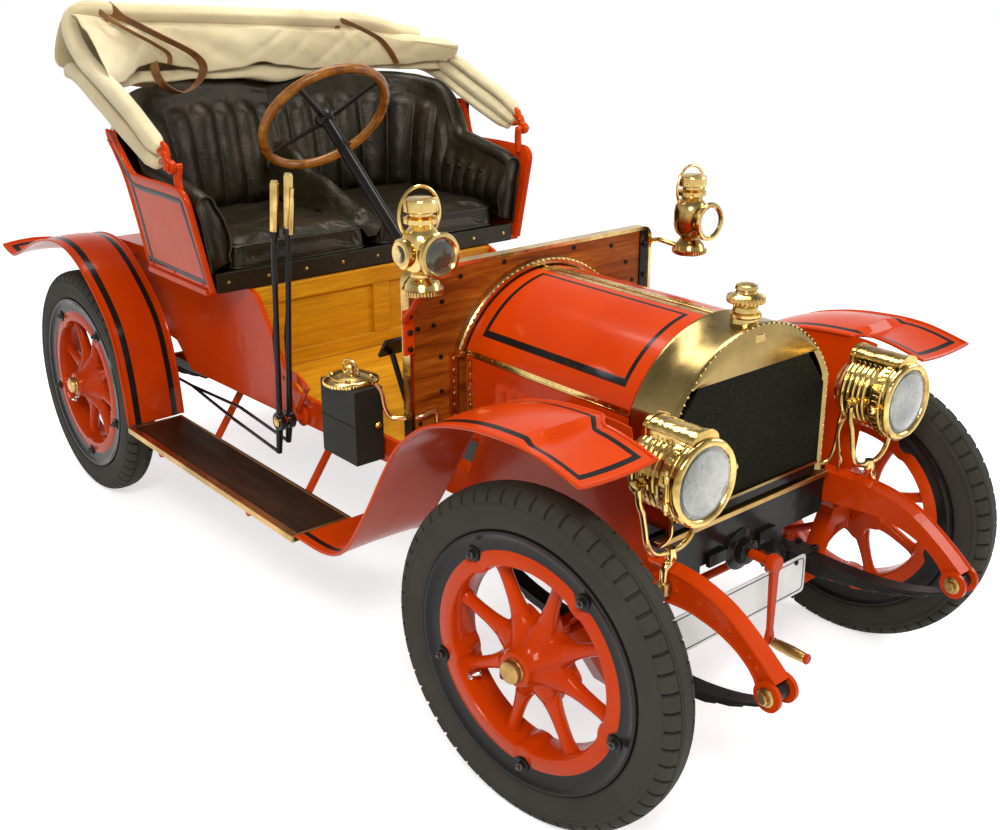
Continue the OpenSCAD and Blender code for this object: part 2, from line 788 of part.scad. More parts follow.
module steering_column() {
    box_x = -216;
    color("black") {
        column_line(column_r, column_l - hub_sink - wheel_gap);
        column_line(column_shaft_r, column_l + hub_sink / 2);
        at_front_axle() {
            block([box_x - 36, box_y - 70, 110], [box_x + 36, box_y + 60, 240]);
            block([box_x - 30, box_y + 60, 125], [box_x + 30, bearer_y, 155]);
            bar_x(-drag_ball_x - 25, box_x, box_y, box_z, drop_pin_r);
        }
    }
}

module steering_wheel() {
    color("peru") translate(column_head) rotate([column_rake - 90, 0, 0]) {
        rotate_extrude($fn = 96) translate([steering_wheel_r, 0]) circle(r = steering_rim_r, $fn = 24);
        difference() {
            translate([0, 0, -hub_sink]) cylinder(h = hub_sink + 14, r = 30);
            translate([0, 0, -hub_sink - 1])
                cylinder(h = 1.5 * hub_sink + 1 + wheel_gap, r = column_shaft_r + running_fit);
        }
        for (a = [45:90:315])
            rotate([0, 90, a]) translate([2, 0, 18]) cylinder(h = steering_wheel_r - 22, r = 8, $fn = 24);
    }
}

module starting_crank() {
    arm_y = -168;
    throw = 196;
    color("orangered") at_front_axle() {
        bar_y(0, arm_y - 8, engine_front, crank_z, crank_r);
        block([-9, arm_y - 9, crank_z - throw], [9, arm_y + 9, crank_z + 14]);
        bar_y(0, arm_y - 112, arm_y + 4, crank_z - throw - 2, 13);
    }
}

module number_plate() {
    corner = 12;
    half = 260;
    low = -127;
    high = -22;
    hole_r = 3;
    color("white") at_front_axle() {
        difference() {
            front_plate(-72, -68) polygon(concat(
                arc(half - corner, high - corner, corner, 0, 90, 4),
                arc(corner - half, high - corner, corner, 90, 180, 4),
                arc(corner - half, low + corner, corner, 180, 270, 4),
                arc(half - corner, low + corner, corner, 270, 360, 4)));
            for (x = [-220, 220])
                bar_y(x, -80, -60, high - 14, hole_r);
        }
        for (x = [-150, 150])
            block([x - 12, -68, -60], [x + 12, -62, apron_low]);
    }
}

// ---------------------------------------------------------------- steering parts

module knuckle_shape(with_drag_arm) {
    fork_z = axle_eye_h / 2 + lug_gap;
    web_x = -(axle_eye_r + fork_gap);
    for (z = [fork_z, -fork_z - fork_t]) {
        translate([0, 0, z]) cylinder(h = fork_t, r = fork_r);
        block([web_x - web_t, -fork_r + 2, z], [0, fork_r - 2, z + fork_t]);
    }
    block([web_x - web_t, -fork_r + 2, -fork_z - fork_t], [web_x, fork_r - 2, fork_z + fork_t]);
    translate([0, 0, -fork_z - fork_t - 6]) cylinder(h = 2 * (fork_z + fork_t + 6), r = kingpin_r);
    bar_x(-kingpin_inset - 66, web_x - 4, 0, 0, spindle_r);
    rod([0, 10, -fork_z - 12], [0, steer_arm_l, tie_rod_z + link_eye_h / 2 + 11], 10);
    translate([0, steer_arm_l, tie_rod_z + link_eye_h / 2 + lug_gap]) cylinder(h = 18, r = 15);
    translate([0, steer_arm_l, tie_rod_z - link_eye_h / 2 - 3])
        cylinder(h = link_eye_h + 8, r = link_pin_r);
    if (with_drag_arm) {
        block([0, -11, fork_z + 2], [drag_arm_l, 11, fork_z + 16]);
        translate([drag_arm_l, 0, fork_z + 2]) cylinder(h = 14, r = 13);
        translate([drag_arm_l, 0, fork_z - 18]) cylinder(h = 24, r = 7);
    }
}

module steered_right() { translate([-kingpin_x, front_y, tyre_r]) rotate([0, 0, steer_rest]) children(); }
module steered_left() { translate([kingpin_x, front_y, tyre_r]) rotate([0, 0, steer_rest]) children(); }

module knuckle_right() { color("orangered") steered_right() knuckle_shape(true); }
module knuckle_left() { color("orangered") steered_left() mirror([1, 0, 0]) knuckle_shape(false); }

module tie_rod() {
    back = [-steer_arm_l * sin(steer_rest), steer_arm_l * cos(steer_rest), tie_rod_z];
    color("orangered") at_front_axle() translate(back) difference() {
        union() {
            bar_x(-kingpin_x, kingpin_x, 0, 0, tie_rod_r);
            for (x = [-kingpin_x, kingpin_x])
                translate([x, 0, -link_eye_h / 2]) cylinder(h = link_eye_h, r = link_eye_r);
        }
        for (x = [-kingpin_x, kingpin_x])
            translate([x, 0, -40]) cylinder(h = 80, r = link_pin_r + running_fit);
    }
}

module drop_arm() {
    plate_x = -drag_ball_x - 21;
    color("black") at_front_axle() translate([0, box_y, box_z]) rotate([drop_rest, 0, 0]) difference() {
        union() {
            bar_x(plate_x, plate_x + 12, 0, 0, 20);
            bar_x(plate_x, plate_x + 12, 0, -drop_arm_l, 15);
            block([plate_x, -12, -drop_arm_l], [plate_x + 12, 12, 0]);
            bar_x(plate_x, -drag_ball_x + 11, 0, -drop_arm_l, link_pin_r);
        }
        bar_x(plate_x - 10, plate_x + 20, 0, 0, drop_pin_r + running_fit);
    }
}

module drag_link() {
    rear = [box_y + drop_arm_l * sin(drop_rest), box_z - drop_arm_l * cos(drop_rest)];
    front = drag_arm_l * sin(steer_rest) + 13 + open_pivot_gap;
    color("black") at_front_axle() difference() {
        union() {
            bar_x(-drag_ball_x - 8, -drag_ball_x + 7, rear[0], rear[1], link_eye_r);
            bar_y(-drag_ball_x, front, rear[0], rear[1], drag_link_r - 3);
        }
        bar_x(-drag_ball_x - 30, -drag_ball_x + 30, rear[0], rear[1], link_pin_r + running_fit);
    }
}

// ---------------------------------------------------------------- wheels, axis along Z, outboard up

rim_r = tyre_r - tyre_h;
felloe_r = rim_r - felloe_inset;
felloe_in = felloe_r - felloe_depth;
hub_in = axle_eye_r + fork_gap + web_t + 1 - kingpin_inset;

module wheel_shape(drum) {
    spoke_turn = 27;
    spoke_root = hub_flange_r - 16;
    difference() {
        union() {
            translate([0, 0, -rim_w / 2]) difference() {
                cylinder(h = rim_w, r = rim_r, $fn = 96);
                translate([0, 0, -1]) cylinder(h = rim_w + 2, r = felloe_in, $fn = 96);
            }
            for (k = [0:spoke_count - 1])
                rotate([90, 0, spoke_turn + k * 360 / spoke_count]) translate([0, 0, spoke_root])
                    cylinder(h = felloe_in + 8 - spoke_root, r1 = spoke_r + 6, r2 = spoke_r, $fn = 24);
            translate([0, 0, hub_in]) cylinder(h = 51 - hub_in, r = 46);
            translate([0, 0, -24]) cylinder(h = 48, r = hub_flange_r);
            translate([0, 0, 48]) cylinder(h = hub_reach - 48, r = 26);
            if (drum)
                translate([0, 0, -78]) cylinder(h = 46, r = drum_r);
        }
        translate([0, 0, -100]) cylinder(h = 170, r = spindle_r + running_fit);
    }
}

module tyre_shape() {
    rotate_extrude($fn = 96) intersection() {
        translate([tyre_r - tyre_w / 2, 0]) circle(r = tyre_w / 2, $fn = 48);
        translate([rim_r, -tyre_w]) square([tyre_w, 2 * tyre_w]);
    }
}

module front_right() { steered_right() translate([-kingpin_inset, 0, 0]) rotate([0, -90, 0]) children(); }
module front_left() { steered_left() translate([kingpin_inset, 0, 0]) rotate([0, 90, 0]) children(); }
module rear_right() { at_rear_axle() translate([-wheel_x, 0, 0]) rotate([0, -90, 0]) children(); }
module rear_left() { at_rear_axle() translate([wheel_x, 0, 0]) rotate([0, 90, 0]) children(); }

module tyre_front_right() { color("#33332c") front_right() tyre_shape(); }
module tyre_front_left() { color("#33332c") front_left() tyre_shape(); }
module tyre_rear_right() { color("#33332c") rear_right() tyre_shape(); }
module tyre_rear_left() { color("#33332c") rear_left() tyre_shape(); }
module wheel_front_right() { color("orangered") front_right() wheel_shape(false); }
module wheel_front_left() { color("orangered") front_left() wheel_shape(false); }
module wheel_rear_right() { color("orangered") rear_right() wheel_shape(true); }
module wheel_rear_left() { color("orangered") rear_left() wheel_shape(true); }

// ---------------------------------------------------------------- hood

module hood_frame() {
    color("orangered") at_seat() pair() difference() {
        union() {
            bar_x(hood_pivot_x, hood_pivot_x + 20, hood_pivot_y, hood_pivot_z, 20);
            rod([hood_pivot_x + 10, hood_pivot_y, hood_pivot_z], [hood_pivot_x + 10, -700, 436], 9);
        }
        bar_x(hood_pivot_x - 20, hood_pivot_x + 60, hood_pivot_y, hood_pivot_z, hood_pin_r + running_fit);
    }
}

module hood_cloth() {
    roll_in = 592;
    roll_out = 650;
    color("#c8b991") at_seat() {
        pair() side_plate(roll_in, roll_out) polygon(concat(
            [[-795, 386], [-770, 364], [-735, 368]],
            smooth([[-551, 406], [-467, 436], [-367, 488], [-284, 520], [-172, 538], [-88, 576],
                [-100, 644], [-150, 712], [-190, 750], [-254, 758], [-318, 740], [-330, 668],
                [-397, 616], [-568, 546], [-690, 480], [-785, 431]], 3)));
        side_plate(2 - roll_in, roll_in - 2) polygon(concat(
            smooth([[-160, 556], [-200, 584], [-262, 568], [-300, 590], [-310, 650], [-296, 724],
                [-220, 748], [-120, 721], [-60, 656], [-50, 576], [-85, 486]], 3),
            [[-135, 486]]));
    }
}

frame_rails();
cross_members();
front_axle();
front_springs();
rear_axle();
rear_springs();
engine();
drive_line();
exhaust();
bonnet_rod();
radiator_shell();
radiator_core();
dashboard();
floor();
pedals();
body_panels();
seat_riser();
seat_sides();
seat_cushions();
seat_back();
front_fenders();
rear_fenders();
running_boards();
board_brackets();
headlamps();
side_lamps();
gas_generator();
hand_levers();
steering_column();
steering_wheel();
starting_crank();
number_plate();
knuckle_right();
knuckle_left();
tie_rod();
drop_arm();
drag_link();
bonnet_top_right();
bonnet_top_left();
bonnet_side_right();
bonnet_side_left();
hood_frame();
hood_cloth();
tyre_front_right();
tyre_front_left();
tyre_rear_right();
tyre_rear_left();
wheel_front_right();
wheel_front_left();
wheel_rear_right();
wheel_rear_left();
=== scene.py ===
"""Looks of an open two-seat motor car of the brass era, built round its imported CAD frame.

Metres, +Z up; the car faces -Y and its right-hand side is -X.  front() and rear() give places
measured from the front and the rear axle line, and from the height of the wheel centres.
"""
import json
from math import acos, atan2, cos, exp, pi, radians, sin, sqrt

import bmesh
import bpy
import numpy as np
from mathutils import Matrix, Vector
from mathutils import noise as mathutils_noise
from mathutils.bvhtree import BVHTree


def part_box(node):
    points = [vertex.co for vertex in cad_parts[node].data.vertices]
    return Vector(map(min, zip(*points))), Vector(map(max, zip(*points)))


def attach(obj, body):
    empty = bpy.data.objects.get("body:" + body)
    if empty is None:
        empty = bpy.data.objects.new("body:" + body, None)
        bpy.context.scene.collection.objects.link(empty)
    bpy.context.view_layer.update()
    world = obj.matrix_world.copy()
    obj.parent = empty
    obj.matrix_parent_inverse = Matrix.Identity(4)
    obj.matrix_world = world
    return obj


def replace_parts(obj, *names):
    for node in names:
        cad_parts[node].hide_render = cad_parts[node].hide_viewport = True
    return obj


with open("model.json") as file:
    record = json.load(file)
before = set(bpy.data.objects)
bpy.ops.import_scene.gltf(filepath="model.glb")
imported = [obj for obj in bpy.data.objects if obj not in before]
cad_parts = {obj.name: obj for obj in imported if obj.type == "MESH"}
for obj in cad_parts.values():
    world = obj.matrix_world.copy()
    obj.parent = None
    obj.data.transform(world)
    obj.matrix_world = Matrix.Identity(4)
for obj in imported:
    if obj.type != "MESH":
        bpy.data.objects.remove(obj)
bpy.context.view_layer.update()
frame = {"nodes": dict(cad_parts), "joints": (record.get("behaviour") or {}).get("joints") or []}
joints = {j["name"]: j for j in frame["joints"]}


def middle(node):
    low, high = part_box(node)
    return (low + high) / 2


FRONT_Y = middle("front_axle").y
REAR_Y = middle("tyre_rear_right").y
AXLE_Z = middle("tyre_rear_right").z
CAR_X = Vector((1, 0, 0))
CAR_Y = Vector((0, 1, 0))
CAR_Z = Vector((0, 0, 1))
SIDES = {"right": -1, "left": 1}


def front(x, y, z):
    return Vector((x, FRONT_Y + y, AXLE_Z + z))


def rear(x, y, z):
    return Vector((x, REAR_Y + y, AXLE_Z + z))


# ---------------------------------------------------------------- shapes


class Shape:
    """Vertices and faces of one piece. Each face has a material number."""

    def __init__(self):
        self.verts, self.faces, self.mats, self.uvs = [], [], [], []

    def add(self, made, mat=0, at=None, uv=None):
        verts, faces = made
        start = len(self.verts)
        self.verts += [at @ Vector(p) for p in verts] if at else [Vector(p) for p in verts]
        self.faces += [[i + start for i in f] for f in faces]
        self.mats += list(mat) if hasattr(mat, "__len__") else [mat] * len(faces)
        self.uvs += uv if uv else [(p[0] + p[1], p[2]) for p in verts]
        return self


def axes(origin, z, x=None):
    """The matrix that puts a local shape at origin, with its own z and x along those directions."""
    z = Vector(z).normalized()
    x = Vector(x) if x is not None else (CAR_X if abs(z.x) < 0.9 else CAR_Y)
    x = (x - z * x.dot(z)).normalized()
    y = z.cross(x)
    return Matrix(((x.x, y.x, z.x, origin[0]), (x.y, y.y, z.y, origin[1]), (x.z, y.z, z.z, origin[2]),
                   (0, 0, 0, 1)))


def loft(rings, closed=True, caps=True, loop=False):
    """Skin over rings of as many points each."""
    n, verts, faces = len(rings[0]), [p for r in rings for p in r], []
    rows = len(rings) if loop else len(rings) - 1
    for i in range(rows):
        a, b = i * n, ((i + 1) % len(rings)) * n
        for k in range(n if closed else n - 1):
            j = (k + 1) % n
            faces.append([a + k, a + j, b + j, b + k])
    if caps and closed and not loop:
        faces.append(list(range(n))[::-1])
        faces.append([(len(rings) - 1) * n + k for k in range(n)])
    return verts, faces


def ring(r, z=0.0, sides=24, wide=1.0, turn=0.0):
    return [(r * cos(turn + 2 * pi * k / sides), wide * r * sin(turn + 2 * pi * k / sides),
             z) for k in range(sides)]


def lathe(profile, sides=40):
    """A profile of (radius, height) turned about the local z axis."""
    return loft([ring(max(r, 2e-4), z, sides) for r, z in profile])


def torus(big, small, sides=64, section=14, flat=1.0):
    rings = [[((big + small * cos(q)) * cos(a), (big + small * cos(q)) * sin(a), flat * small * sin(q))
              for q in np.linspace(0, 2 * pi, section, endpoint=False)]
             for a in np.linspace(0, 2 * pi, sides, endpoint=False)]
    return loft(rings, loop=True)


def tube(path, r, sides=10, loop=False, caps=True, flat=1.0, up=None):
    """A bar that follows path. r is one radius or one for each point; flat squashes it along up."""
    pts = [Vector(p) for p in path]
    n = len(pts)
    radii = list(r) if hasattr(r, "__len__") else [r] * n
    rings, side = [], None
    for i, p in enumerate(pts):
        before, after = (pts[i - 1], pts[(i
                                          + 1) % n]) if loop else (pts[max(i - 1, 0)],
                pts[min(i + 1, n - 1)])
        t = (after - before).normalized()
        if up is not None:
            side = t.cross(Vector(up)).normalized()
        elif side is None:
            side = t.cross(CAR_Z if abs(t.z) < 0.9 else CAR_X).normalized()
        else:
            side = (side - t * side.dot(t)).normalized()
        other = side.cross(t)
        rings.append([p + radii[i] * (side * cos(2 * pi * k / sides)
                                      + other * flat * sin(2 * pi * k / sides)) for k in range(sides)])
    return loft(rings, loop=loop, caps=caps)


def box(low, high):
    (x0, y0, z0), (x1, y1, z1) = low, high
    return loft([[(x0, y0, z), (x1, y0, z), (x1, y1, z), (x0, y1, z)] for z in (z0, z1)])


def bar(p, q, width, depth, up=CAR_Z):
    """A straight bar of rectangular section from p to q."""
    at = axes(p, Vector(q) - Vector(p), up)
    verts, faces = box((-width / 2, -depth / 2, 0), (width / 2, depth / 2, (Vector(q) - Vector(p)).length))
    return [at @ Vector(v) for v in verts], faces


def prism(outline, z0, z1):
    return loft([[(x, y, z) for x, y in outline] for z in (z0, z1)])


def arc(cx, cy, r, a0, a1, n):
    return [(cx + r * cos(radians(a0 + (a1 - a0) * i / n)), cy
             + r * sin(radians(a0 + (a1 - a0) * i / n))) for i in range(n + 1)]


def smooth(points, steps):
    """A Catmull-Rom curve through the points, steps between each two."""
    p = [np.array(q, float) for q in points]
    out = []
    for i in range(len(p) - 1):
        a, b, c, d = p[max(i - 1, 0)], p[i], p[i + 1], p[min(i + 2, len(p) - 1)]
        for k in range(steps):
            t = k / steps
            out.append(0.5 * (2 * b + (c - a) * t + (2 * a - 5 * b + 4 * c - d) * t**2
                              + (3 * b - a - 3 * c + d) * t**3))
    return [tuple(q) for q in out] + [tuple(p[-1])]


def along(pairs, t):
    """Value at t from pairs of (place, value) in rising order, eased between them."""
    for (t0, v0), (t1, v1) in zip(pairs, pairs[1:]):
        if t <= t1:
            s = min(max((t - t0) / (t1 - t0), 0), 1)
            return v0 + (v1 - v0) * s * s * (3 - 2 * s)
    return pairs[-1][1]


def slab(grid, thickness):
    """A closed sheet over a grid of points: the grid is one face, the other lies thickness behind it."""
    g = np.array([[list(p) for p in row] for row in grid], float)
    normal = np.cross(np.gradient(g, axis=0), np.gradient(g, axis=1))
    normal /= np.linalg.norm(normal, axis=2, keepdims=True) + 1e-12
    rows, cols = g.shape[:2]
    verts = [tuple(p) for p in g.reshape(-1, 3)] + [tuple(p) for p in (g - normal * thickness).reshape(-1, 3)]
    top = [[i * cols + j, i * cols + j + 1, (i + 1) * cols + j + 1, (i + 1) * cols + j]
           for i in range(rows - 1) for j in range(cols - 1)]
    n = rows * cols
    faces = top + [[q + n for q in f[::-1]] for f in top]
    rim = ([j for j in range(cols)] + [i * cols + cols - 1 for i in range(1, rows)]
           + [(rows - 1) * cols + j for j in range(cols - 2, -1, -1)]
           + [i * cols for i in range(rows - 2, 0, -1)])
    faces += [[rim[k - 1], rim[k - 1] + n, rim[k] + n, rim[k]] for k in range(len(rim))]
    return verts, faces


def heads(places, direction, r, h, sides=6):
    """Bolt or rivet heads at the places, pointing along direction; 6 sides is a nut, more is a round head."""
    shape = Shape()
    profile = [(r, 0), (r, h * 0.8), (r * 0.8,
                                      h)] if sides == 6 else [(r, 0), (r * 0.86, h * 0.55),
            (r * 0.45, h * 0.95), (r * 0.1, h)]
    for p in places:
        shape.add(lathe(profile, sides), at=axes(p, direction))
    return shape.verts, shape.faces


def piece(name, shape, mats, body, bevel=0.0, segments=2, angle=35, subdivide=0, uv=False):
    """Makes the object, gives it its materials and modifiers, and lets it ride on a body."""
    mesh = bpy.data.meshes.new(name)
    mesh.from_pydata([tuple(v) for v in shape.verts], [], shape.faces)
    mesh.validate()
    for m in mats if hasattr(mats, "__len__") else [mats]:
        mesh.materials.append(m)
    if len(mesh.polygons) == len(shape.mats):
        mesh.polygons.foreach_set("material_index", shape.mats)
    if uv:
        layer = mesh.uv_layers.new(name="cloth")
        corner = np.zeros(len(mesh.loops), int)
        mesh.loops.foreach_get("vertex_index", corner)
        layer.data.foreach_set("uv", np.array(shape.uvs, float)[corner].ravel())
    tidy = bmesh.new()
    tidy.from_mesh(mesh)
    bmesh.ops.recalc_face_normals(tidy, faces=tidy.faces)
    tidy.to_mesh(mesh)
    tidy.free()
    mesh.polygons.foreach_set("use_smooth", [True] * len(mesh.polygons))
    o = bpy.data.objects.new(name, mesh)
    bpy.context.scene.collection.objects.link(o)
    if bevel:
        b = o.modifiers.new("edges", "BEVEL")
        b.width, b.segments, b.limit_method, b.angle_limit = bevel, segments, "ANGLE", radians(angle)
        b.harden_normals = True
    elif not subdivide:
        mesh.set_sharp_from_angle(angle=radians(angle))
    if subdivide:
        s = o.modifiers.new("round", "SUBSURF")
        s.levels = s.render_levels = subdivide
    if body:
        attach(o, body)
    return o


# ---------------------------------------------------------------- materials


class Look:
    """A Principled material whose colour, roughness and bump come from nodes."""

    def __init__(self, name, rough=0.5, metal=0.0, **extra):
        self.mat = bpy.data.materials.new(name)
        self.mat.use_nodes = True
        self.tree = self.mat.node_tree
        self.shader = self.tree.nodes["Principled BSDF"]
        self.set("Roughness", rough).set("Metallic", metal)
        for key, value in extra.items():
            self.set(key.replace("_", " "), value)
        self.place = self.node("ShaderNodeTexCoord").outputs["Object"]
        self.height = None

    def set(self, socket, value):
        self.shader.inputs[socket].default_value = value
        return self

    def node(self, kind, **inputs):
        n = self.tree.nodes.new(kind)
        for key, value in inputs.items():
            s = n.inputs[key.replace("_", " ")]
            if isinstance(value, bpy.types.NodeSocket):
                self.tree.links.new(value, s)
            else:
                s.default_value = value
        return n

    def stretched(self, scale, turn=(0, 0, 0)):
        return self.node("ShaderNodeMapping", Vector=self.place, Scale=scale, Rotation=turn).outputs[0]

    def noise(self, scale, detail=4, rough=0.55, at=None, warp=0.0):
        n = self.node("ShaderNodeTexNoise", Vector=at or self.place, Scale=scale, Detail=detail,
                      Roughness=rough, Distortion=warp)
        return n.outputs["Fac"]

    def ramp(self, value, stops):
        n = self.node("ShaderNodeValToRGB", Fac=value)
        while len(n.color_ramp.elements) < len(stops):
            n.color_ramp.elements.new(0.5)
        for e, (at, colour) in zip(n.color_ramp.elements, stops):
            e.position = at
            e.color = (*colour, 1) if hasattr(colour, "__len__") else (colour, colour, colour, 1)
        return n.outputs[0]

    def mix(self, fac, a, b, how="MIX"):
        n = self.node("ShaderNodeMix")
        n.data_type, n.blend_type = "RGBA", how
        for socket, value in zip((n.inputs[0], n.inputs[6], n.inputs[7]), (fac, a, b)):
            if isinstance(value, bpy.types.NodeSocket):
                self.tree.links.new(value, socket)
            else:
                socket.default_value = (*value, 1) if hasattr(value, "__len__") else value
        return n.outputs[2]

    def colour(self, value):
        self.tree.links.new(value, self.shader.inputs["Base Color"])
        return self

    def roughness(self, value, low, high):
        n = self.node("ShaderNodeMapRange", Value=value)
        n.inputs["To Min"].default_value, n.inputs["To Max"].default_value = low, high
        self.tree.links.new(n.outputs[0], self.shader.inputs["Roughness"])
        return self

    def bump(self, value, distance, strength=1.0):
        n = self.node("ShaderNodeBump", Height=value, Distance=distance, Strength=strength)
        if self.height is not None:
            self.tree.links.new(self.height, n.inputs["Normal"])
        self.height = n.outputs[0]
        self.tree.links.new(self.height, self.shader.inputs["Normal"])
        if self.shader.inputs["Coat Weight"].default_value:
            self.tree.links.new(self.height, self.shader.inputs["Coat Normal"])
        return self


def enamel(name, deep, light, coat=0.10, rough=0.20, gloss=0.12, tint=(1, 1, 1)):
    """Old brushed coach enamel: small shifts of tone, a faint ripple and rubbed patches in the gloss."""
    k = Look(name, rough, Coat_Weight=coat, Coat_Roughness=0.05, Specular_IOR_Level=gloss,
             Specular_Tint=(*tint, 1))
    k.colour(k.ramp(k.noise(3.0, 5), [(0.3, deep), (0.7, light)]))
    k.roughness(k.noise(14.0, 6), rough - 0.08, rough + 0.12)
    return k.bump(k.noise(9.0, 2), 0.0015).bump(k.noise(420.0, 3), 0.00004)


def metal(name, dark, bright, rough=0.18, grain=60.0, dents=0.0, spread=(0.35, 0.6)):
    k = Look(name, rough, 1.0)
    # Colour wanders by noise between dark and bright. For the bright brass and the lamp reflector, the dark
    # patches and the low base colour are painted reflection of dark surroundings mirrored in polished metal.
    # For the other metals it is tone that differs at random.
    k.colour(k.ramp(k.noise(7.0, 6, 0.65), list(zip(spread, (dark, bright)))))
    k.roughness(k.noise(grain, 5), rough - 0.08, rough + 0.14)
    k.bump(k.noise(grain * 6, 2), 0.00005)
    return k.bump(k.noise(24.0, 2), dents) if dents else k


def timber(name, deep, mid, pale, stretch, rough=0.35, coat=0.08, rings=22.0):
    """Varnished wood with its grain along the axis that stretch keeps long."""
    k = Look(name, rough, Coat_Weight=coat, Coat_Roughness=0.12, Specular_IOR_Level=0.15)
    at = k.stretched(stretch)
    bands = k.noise(rings, 5, 0.6, at, 0.6)
    fine = k.noise(rings * 7, 4, 0.7, at, 0.2)
    body = k.ramp(bands, [(0.28, deep), (0.47, mid), (0.66, pale)])
    k.colour(k.mix(k.ramp(fine, [(0.35, 0.0), (0.62, 0.55)]), body, deep))
    k.roughness(fine, rough - 0.08, rough + 0.15)
    return k.bump(fine, 0.00025).bump(bands, 0.0004)


def make_materials():
    m = {}
    m["red"] = enamel("red_enamel", (0.44, 0.029, 0.0010), (0.55, 0.047, 0.0014), tint=(1.0, 0.58, 0.36))
    m["black"] = enamel("black_enamel", (0.006, 0.005, 0.005), (0.013, 0.011, 0.01))
    m["black_matt"] = enamel("black_matt", (0.012, 0.012, 0.009), (0.026, 0.025, 0.018), 0.0, 0.5)
    # The polished, lamp-body and radiator-shell brass are set darker than real brass, with a wide
    # dark-to-bright spread. This is painted reflection of dark surroundings in the metal.
    m["brass"] = metal("brass_polished", (0.33, 0.20, 0.055), (0.80, 0.58, 0.22), 0.15)
    m["brass_hammered"] = metal("brass_lamp_body", (0.27, 0.16, 0.04), (0.82, 0.59, 0.20), 0.13, 60.0, 0.004)
    m["brass_shell"] = metal("brass_radiator_shell", (0.16, 0.105, 0.032), (0.50, 0.36, 0.14), 0.2, 40.0,
                             spread=(0.1, 0.95))
    m["brass_dull"] = metal("brass_handled", (0.30, 0.17, 0.05), (0.58, 0.37, 0.13), 0.3)
    m["copper"] = metal("copper_pipe", (0.45, 0.20, 0.08), (0.72, 0.38, 0.18), 0.25)
    m["steel"] = metal("steel_bright", (0.42, 0.41, 0.40), (0.68, 0.67, 0.65), 0.2)
    # The reflector silver is set dark grey as painted reflection of dark surroundings, not the silver's own
    # colour.
    m["silver"] = metal("reflector_silver", (0.13, 0.13, 0.12), (0.38, 0.37, 0.34), 0.22)
    m["silver_pale"] = metal("side_lamp_silver", (0.50, 0.49, 0.46), (0.78, 0.77, 0.74), 0.5)
    m["cast"] = metal("cast_iron", (0.05, 0.05, 0.048), (0.11, 0.105, 0.1), 0.5)
    m["springs"] = enamel("spring_black", (0.009, 0.009, 0.009), (0.022, 0.02, 0.018), 0.1, 0.4)
    m["dash"] = timber("mahogany", (0.12, 0.020, 0.002), (0.34, 0.076, 0.004), (0.47, 0.135, 0.010),
                       (0.09, 1, 1), rings=30)
    m["floor"] = timber("golden_board", (0.36, 0.125, 0.003), (0.58, 0.245, 0.005), (0.68, 0.32, 0.010),
                        (0.08, 1, 1), rings=14)
    m["step"] = timber("dark_board", (0.012, 0.006, 0.003), (0.030, 0.014, 0.006), (0.05, 0.024, 0.010),
                       (1, 0.1, 1), 0.36, 0.1)
    m["rim"] = timber("amber_rim", (0.11, 0.030, 0.003), (0.24, 0.080, 0.006), (0.36, 0.145, 0.016),
                      (1, 1, 1), 0.26, 0.35, 18)
    return m


mat = make_materials()


def rubber():
    k = Look("tyre_rubber", 0.75, Specular_IOR_Level=0.3)
    k.colour(k.ramp(k.noise(5.0, 6, 0.7), [(0.3, (0.018, 0.016, 0.010)), (0.7, (0.037, 0.034, 0.023))]))
    k.roughness(k.noise(40.0, 5), 0.68, 0.9)
    return k.bump(k.noise(260.0, 4), 0.0003).bump(k.noise(30.0, 3), 0.0006)


def leather():
    """Dark hide: pebbled grain, long creases, brown where it is stretched and rubbed."""
    k = Look("seat_leather", 0.34, Specular_IOR_Level=0.30, Specular_Tint=(1.0, 0.88, 0.72, 1))
    worn = k.noise(5.0, 5, 0.6, warp=1.0)
    k.colour(k.ramp(worn, [(0.32, (0.005, 0.004, 0.0015)), (0.56, (0.010, 0.0075, 0.003)),
                           (0.75, (0.030, 0.018, 0.010))]))
    k.roughness(k.noise(22.0, 4), 0.24, 0.44)
    cells = k.node("ShaderNodeTexVoronoi", Vector=k.place, Scale=420.0)
    k.bump(cells.outputs["Distance"], 0.0005, 0.6)
    return k.bump(k.noise(46.0, 5, 0.6, warp=1.5), 0.0022, 0.7)


def canvas():
    """Cream duck: a plain weave that follows the cloth's own UVs, in metres, with soiled patches."""
    k = Look("hood_canvas", 0.9, Sheen_Weight=0.35, Sheen_Roughness=0.5)
    uv = k.node("ShaderNodeTexCoord").outputs["UV"]
    weave = []
    for turn in (0.0, pi / 2):
        at = k.node("ShaderNodeMapping", Vector=uv, Rotation=(0, 0, turn)).outputs[0]
        w = k.node("ShaderNodeTexWave", Vector=at, Scale=260.0, Distortion=0.8, Detail_Scale=2.0)
        weave.append(w.outputs["Fac"])
    threads = k.mix(0.5, weave[0], weave[1], "ADD")
    soiled = k.ramp(k.noise(4.0, 6, 0.65), [(0.3, (0.46, 0.36, 0.18)), (0.55, (0.64, 0.525, 0.295)),
                                            (0.75, (0.73, 0.62, 0.37))])
    k.colour(k.mix(k.ramp(threads, [(0.2, 0.0), (0.8, 0.35)]), soiled, (0.75, 0.65, 0.41)))
    return k.bump(threads, 0.0005, 0.5).bump(k.noise(9.0, 4), 0.004, 0.5)


def strap_leather():
    k = Look("strap_leather", 0.5, Coat_Weight=0.15)
    k.colour(k.ramp(k.noise(16.0, 5), [(0.3, (0.13, 0.045, 0.012)), (0.7, (0.30, 0.125, 0.03))]))
    return k.bump(k.noise(180.0, 4), 0.0004)


